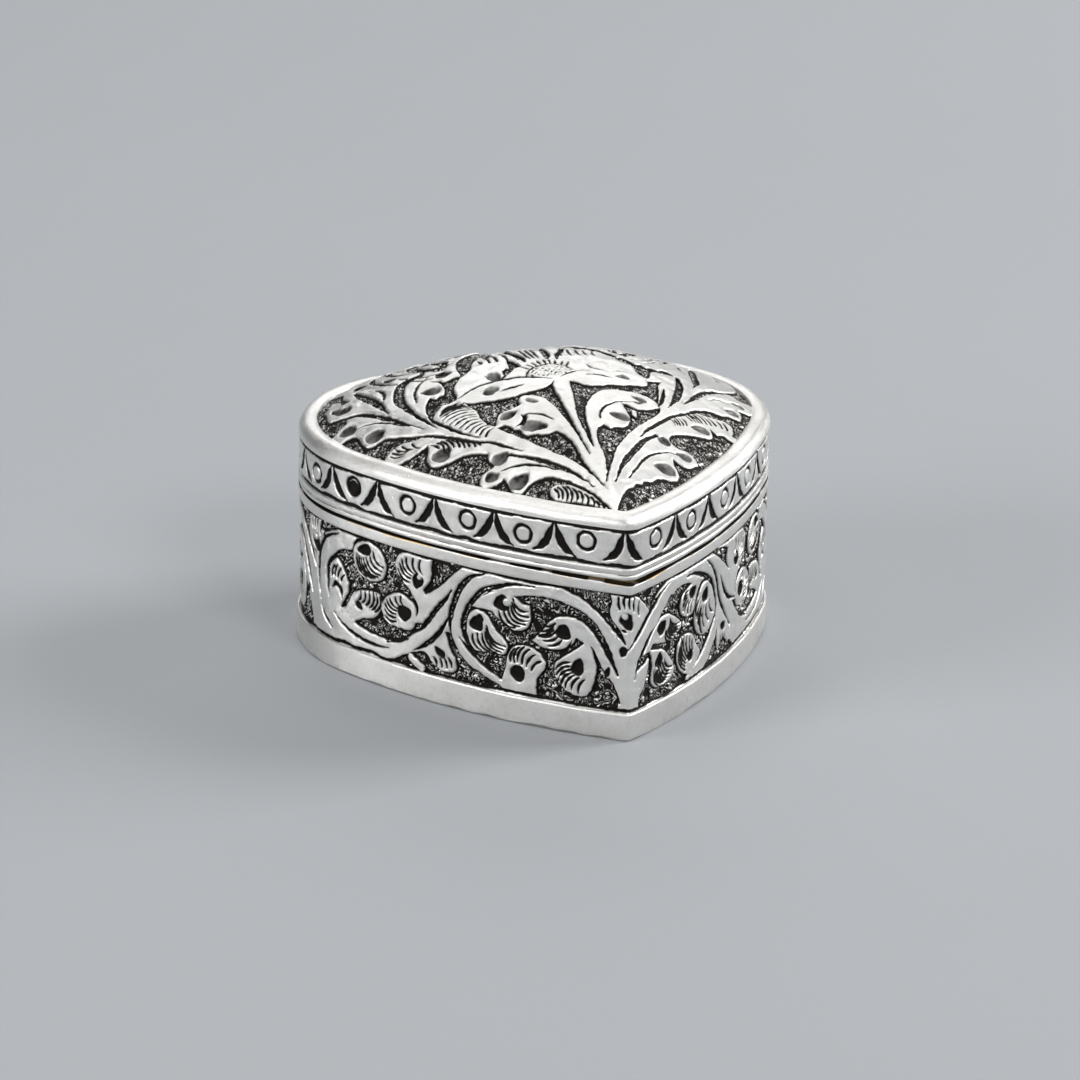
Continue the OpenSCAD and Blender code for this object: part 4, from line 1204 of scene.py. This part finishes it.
def build_body(silver, chased, gilt):
    outline = Outline(BODY_TIP_R, GRID)
    sheet, fields = carve_frieze(outline.half)
    rows = rows_between(FOOT_H - 0.2, WALL_TOP, GRID)
    wall = chased_ring("chased_wall", outline, sheet, fields, rows, WALL_T, 0.0)
    add(wall, "body", "body_wall", chased)

    def foot_edge(s, inset, z):
        low = 0.28 * waves(s, 61, 3.0) * waves(s, 62, 14.0) * (z < 0.5)
        high = 0.1 * waves(s, 63, 6.0) * (z > FOOT_H - 0.5)
        return low - high

    foot = plain_ring("foot_band", strip_section(-FOOT_PROUD, 0.0, 0.0, FOOT_H, 0.22), 0.35, foot_edge)
    add(foot, "body", "foot_rim", silver)

    def worn_rim(s, inset, z):
        top = ramp(WALL_TOP + 0.5, RIM_TOP, z)
        return -top * (0.24 * np.exp(-(s / 5.5) ** 2) + 0.1 * waves(s, 64, 9.0))

    def painted_seam_shade(s, inset, z):
        # Painted shade for the seam under the lid: the rim's top edge is darkened in patches, and its top
        # face, under the lid, is darkened all round.
        edge = ramp(RIM_TOP - 0.13, RIM_TOP - 0.05, z) * ramp(0.25, 0.6, waves(s, 71, 4.0) + 0.3)
        return np.maximum(edge, 0.42 * float(inset > 0.12 and z > RIM_TOP - 0.05))

    def seam_gilt(s, inset, z):
        worn = ramp(0.42, 0.62, waves(s, 72, 5.0))
        near = np.exp(-((s + 27) / 9) ** 2) + np.exp(-((s + 3.5) / 3) ** 2) + np.exp(-((s - 4) / 3) ** 2)
        return worn * np.clip(near, 0.15, 1) * (z > RIM_TOP - 0.2)

    section = strip_section(-TRIM_PROUD, WALL_T, WALL_TOP, RIM_TOP, 0.2)
    rim = plain_ring("body_rim_strip", section, 0.7, worn_rim, painted_seam_shade, seam_gilt)
    add(rim, "body", "body_rim", silver)
    inner = WALL_T + BEZEL_T
    collar = strip_section(WALL_T, inner, RIM_TOP - BEZEL_DROP, RIM_TOP + BEZEL_RISE, 0.12)
    add(plain_ring("gilt_collar", collar, 0.5), "body", "bezel", gilt)


def build_lid(silver, chased):
    outline = Outline(LID_TIP_R, GRID)
    sheet, fields = carve_band(outline.half)
    rows = rows_between(BAND_BOTTOM, BAND_TOP, GRID)
    band = chased_ring("punched_band", outline, sheet, fields, rows, LID_T, BAND_BOTTOM)
    add(band, "lid", "lid_band", chased)

    def worn_edge(s, inset, z):
        return 0.08 * waves(s, 65, 7.0) * (z < LID_BOTTOM + 0.4)

    def scored_line_and_seam_shade(s, inset, z):
        patches = ramp(0.35, 0.6, waves(s, 67, 9.0)) * ramp(0.2, 0.5, waves(s, 68, 2.5))
        # Painted shade for the seam: the lid rim's lower face is darkened where it sits over the body. The
        # patches along the scored line are tarnish in the groove.
        under = 0.4 * float(z < LID_BOTTOM + 0.02 and inset > 0.1)
        return np.maximum(patches * (abs(z - SCORE_Z) < 0.03), under)

    section = strip_section(-TRIM_PROUD, LID_T, LID_BOTTOM, BAND_BOTTOM, 0.22, SCORE_Z)
    rim = plain_ring("lid_rim_strip", section, LID_TIP_R, worn_edge, scored_line_and_seam_shade)
    add(rim, "lid", "lid_rim", silver)
    centre = BORDER_R - TRIM_PROUD
    turns = np.radians(np.linspace(-6, 120, 26))
    over = [(centre - BORDER_R * math.cos(a), BORDER_Z + BORDER_R * math.sin(a)) for a in turns]
    section = [(-TRIM_PROUD, BAND_TOP)] + over + [(PANEL_IN, BAND_TOP)]

    def hand_made(s, inset, z):
        return -0.1 * waves(s, 66, 8.0) * (z > BORDER_Z + 0.2)

    wire = plain_ring("border_wire", section, LID_TIP_R + 0.4, hand_made)
    add(wire, "lid", "lid_border", silver)
    sheet, fields = carve_panel()
    add(chased_dome(sheet, fields), "lid", "lid_dome", chased)


def dress_cad_nodes(silver, dark):
    for name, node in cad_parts.items():
        if name == "base_plate" or "hinge_seat" in name or "knuckle" in name:
            dress(node, silver)
    dress(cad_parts["hinge_pin"], dark)


# ---- camera, light and floor -----------------------------------------------------------

AIM = np.array([0.0, 0.0, 12.0])
CAMERA_TURN = math.radians(-16.9)
CAMERA_RISE = math.radians(20.35)
CAMERA_ROLL = math.radians(0.95)
CAMERA_FAR = 504.5
CAMERA_LENS = 159.1
CAMERA_SLIDE = (0.64, -2.43)


def add_camera():
    """The photograph's viewing angle, from about half a metre away."""
    flat = math.cos(CAMERA_RISE)
    back = np.array([math.sin(CAMERA_TURN) * flat, -math.cos(CAMERA_TURN) * flat, math.sin(CAMERA_RISE)])
    right = np.array([math.cos(CAMERA_TURN), math.sin(CAMERA_TURN), 0])
    up = np.cross(back, right)
    c, s = math.cos(CAMERA_ROLL), math.sin(CAMERA_ROLL)
    right, up = right * c + up * s, up * c - right * s
    eye = AIM + back * CAMERA_FAR + right * CAMERA_SLIDE[0] + up * CAMERA_SLIDE[1]
    data = bpy.data.cameras.new("camera")
    data.lens = CAMERA_LENS
    data.sensor_width = 36
    data.clip_start = 0.01
    data.clip_end = 20
    camera = bpy.data.objects.new("camera", data)
    matrix = Matrix(np.column_stack([right, up, back]).tolist()).to_4x4()
    matrix.translation = Vector(eye * MM)
    camera.matrix_world = matrix
    bpy.context.scene.collection.objects.link(camera)
    bpy.context.scene.camera = camera


def softbox(name, place, aim, width, height, power):
    """A rectangular soft light, in metres, that faces aim."""
    data = bpy.data.lights.new(name, "AREA")
    data.shape = "RECTANGLE"
    data.size = width
    data.size_y = height
    data.energy = power
    light = bpy.data.objects.new(name, data)
    light.location = place
    light.rotation_euler = (Vector(aim) - Vector(place)).to_track_quat("-Z", "Y").to_euler()
    bpy.context.scene.collection.objects.link(light)


def add_lights():
    centre = (0, 0, 0.012)
    softbox("overhead", (-0.1, 0.1, 1.0), centre, 1.0, 0.9, 4.0)
    softbox("back_panel", (0.35, 1.0, 0.62), centre, 1.0, 0.5, 3.2)
    softbox("left_window", (-0.9, -0.2, 0.35), centre, 0.45, 0.35, 4.6)
    softbox("right_window", (0.85, 0.0, 0.45), centre, 0.4, 0.5, 7.0)
    softbox("front_window", (0.3, -1.0, 0.75), centre, 0.4, 0.3, 4.2)
    world = bpy.data.worlds.new("studio")
    world.use_nodes = True
    world.node_tree.nodes["Background"].inputs["Color"].default_value = (0.95, 0.97, 1.0, 1)
    world.node_tree.nodes["Background"].inputs["Strength"].default_value = 0.26
    bpy.context.scene.world = world
    bpy.context.scene.view_settings.view_transform = "Standard"


def add_floor():
    """A sheet of paper that sweeps up behind the box, in metres."""
    bend, back, top, side, front = 0.6, 1.2, 2.4, 3.0, -1.6
    turns = np.linspace(0, math.pi / 2, 16)
    profile = [(front, 0.0), (back, 0.0)]
    profile += [(back + bend * math.sin(a), bend * (1 - math.cos(a))) for a in turns[1:]]
    profile.append((back + bend, top))
    points = [(x / MM, y / MM, z / MM) for x in (-side, side) for y, z in profile]
    n = len(profile)
    floor = make_mesh("floor", points, [(i, n + i, n + i + 1, i + 1) for i in range(n - 1)])
    dress(floor, floor_material())


def build():
    black = (0.02, 0.018, 0.016)
    bright = (0.92, 0.91, 0.88)
    silver = metal("polished_silver", bright, (0.82, 0.80, 0.76), black, 0.26, 0.16)
    chased = metal("chased_silver", bright, (0.80, 0.785, 0.75), black, 0.26, 0.14, 0.8)
    gilt = metal("gilding", (0.92, 0.62, 0.27), (0.76, 0.46, 0.18), (0.10, 0.05, 0.02), 0.25, 0.14)
    dark = metal("pin_silver", (0.62, 0.61, 0.59), (0.50, 0.49, 0.47), black, 0.3, 0.15)
    build_body(silver, chased, gilt)
    build_lid(silver, chased)
    dress_cad_nodes(silver, dark)
    add_floor()
    add_lights()
    add_camera()


build()
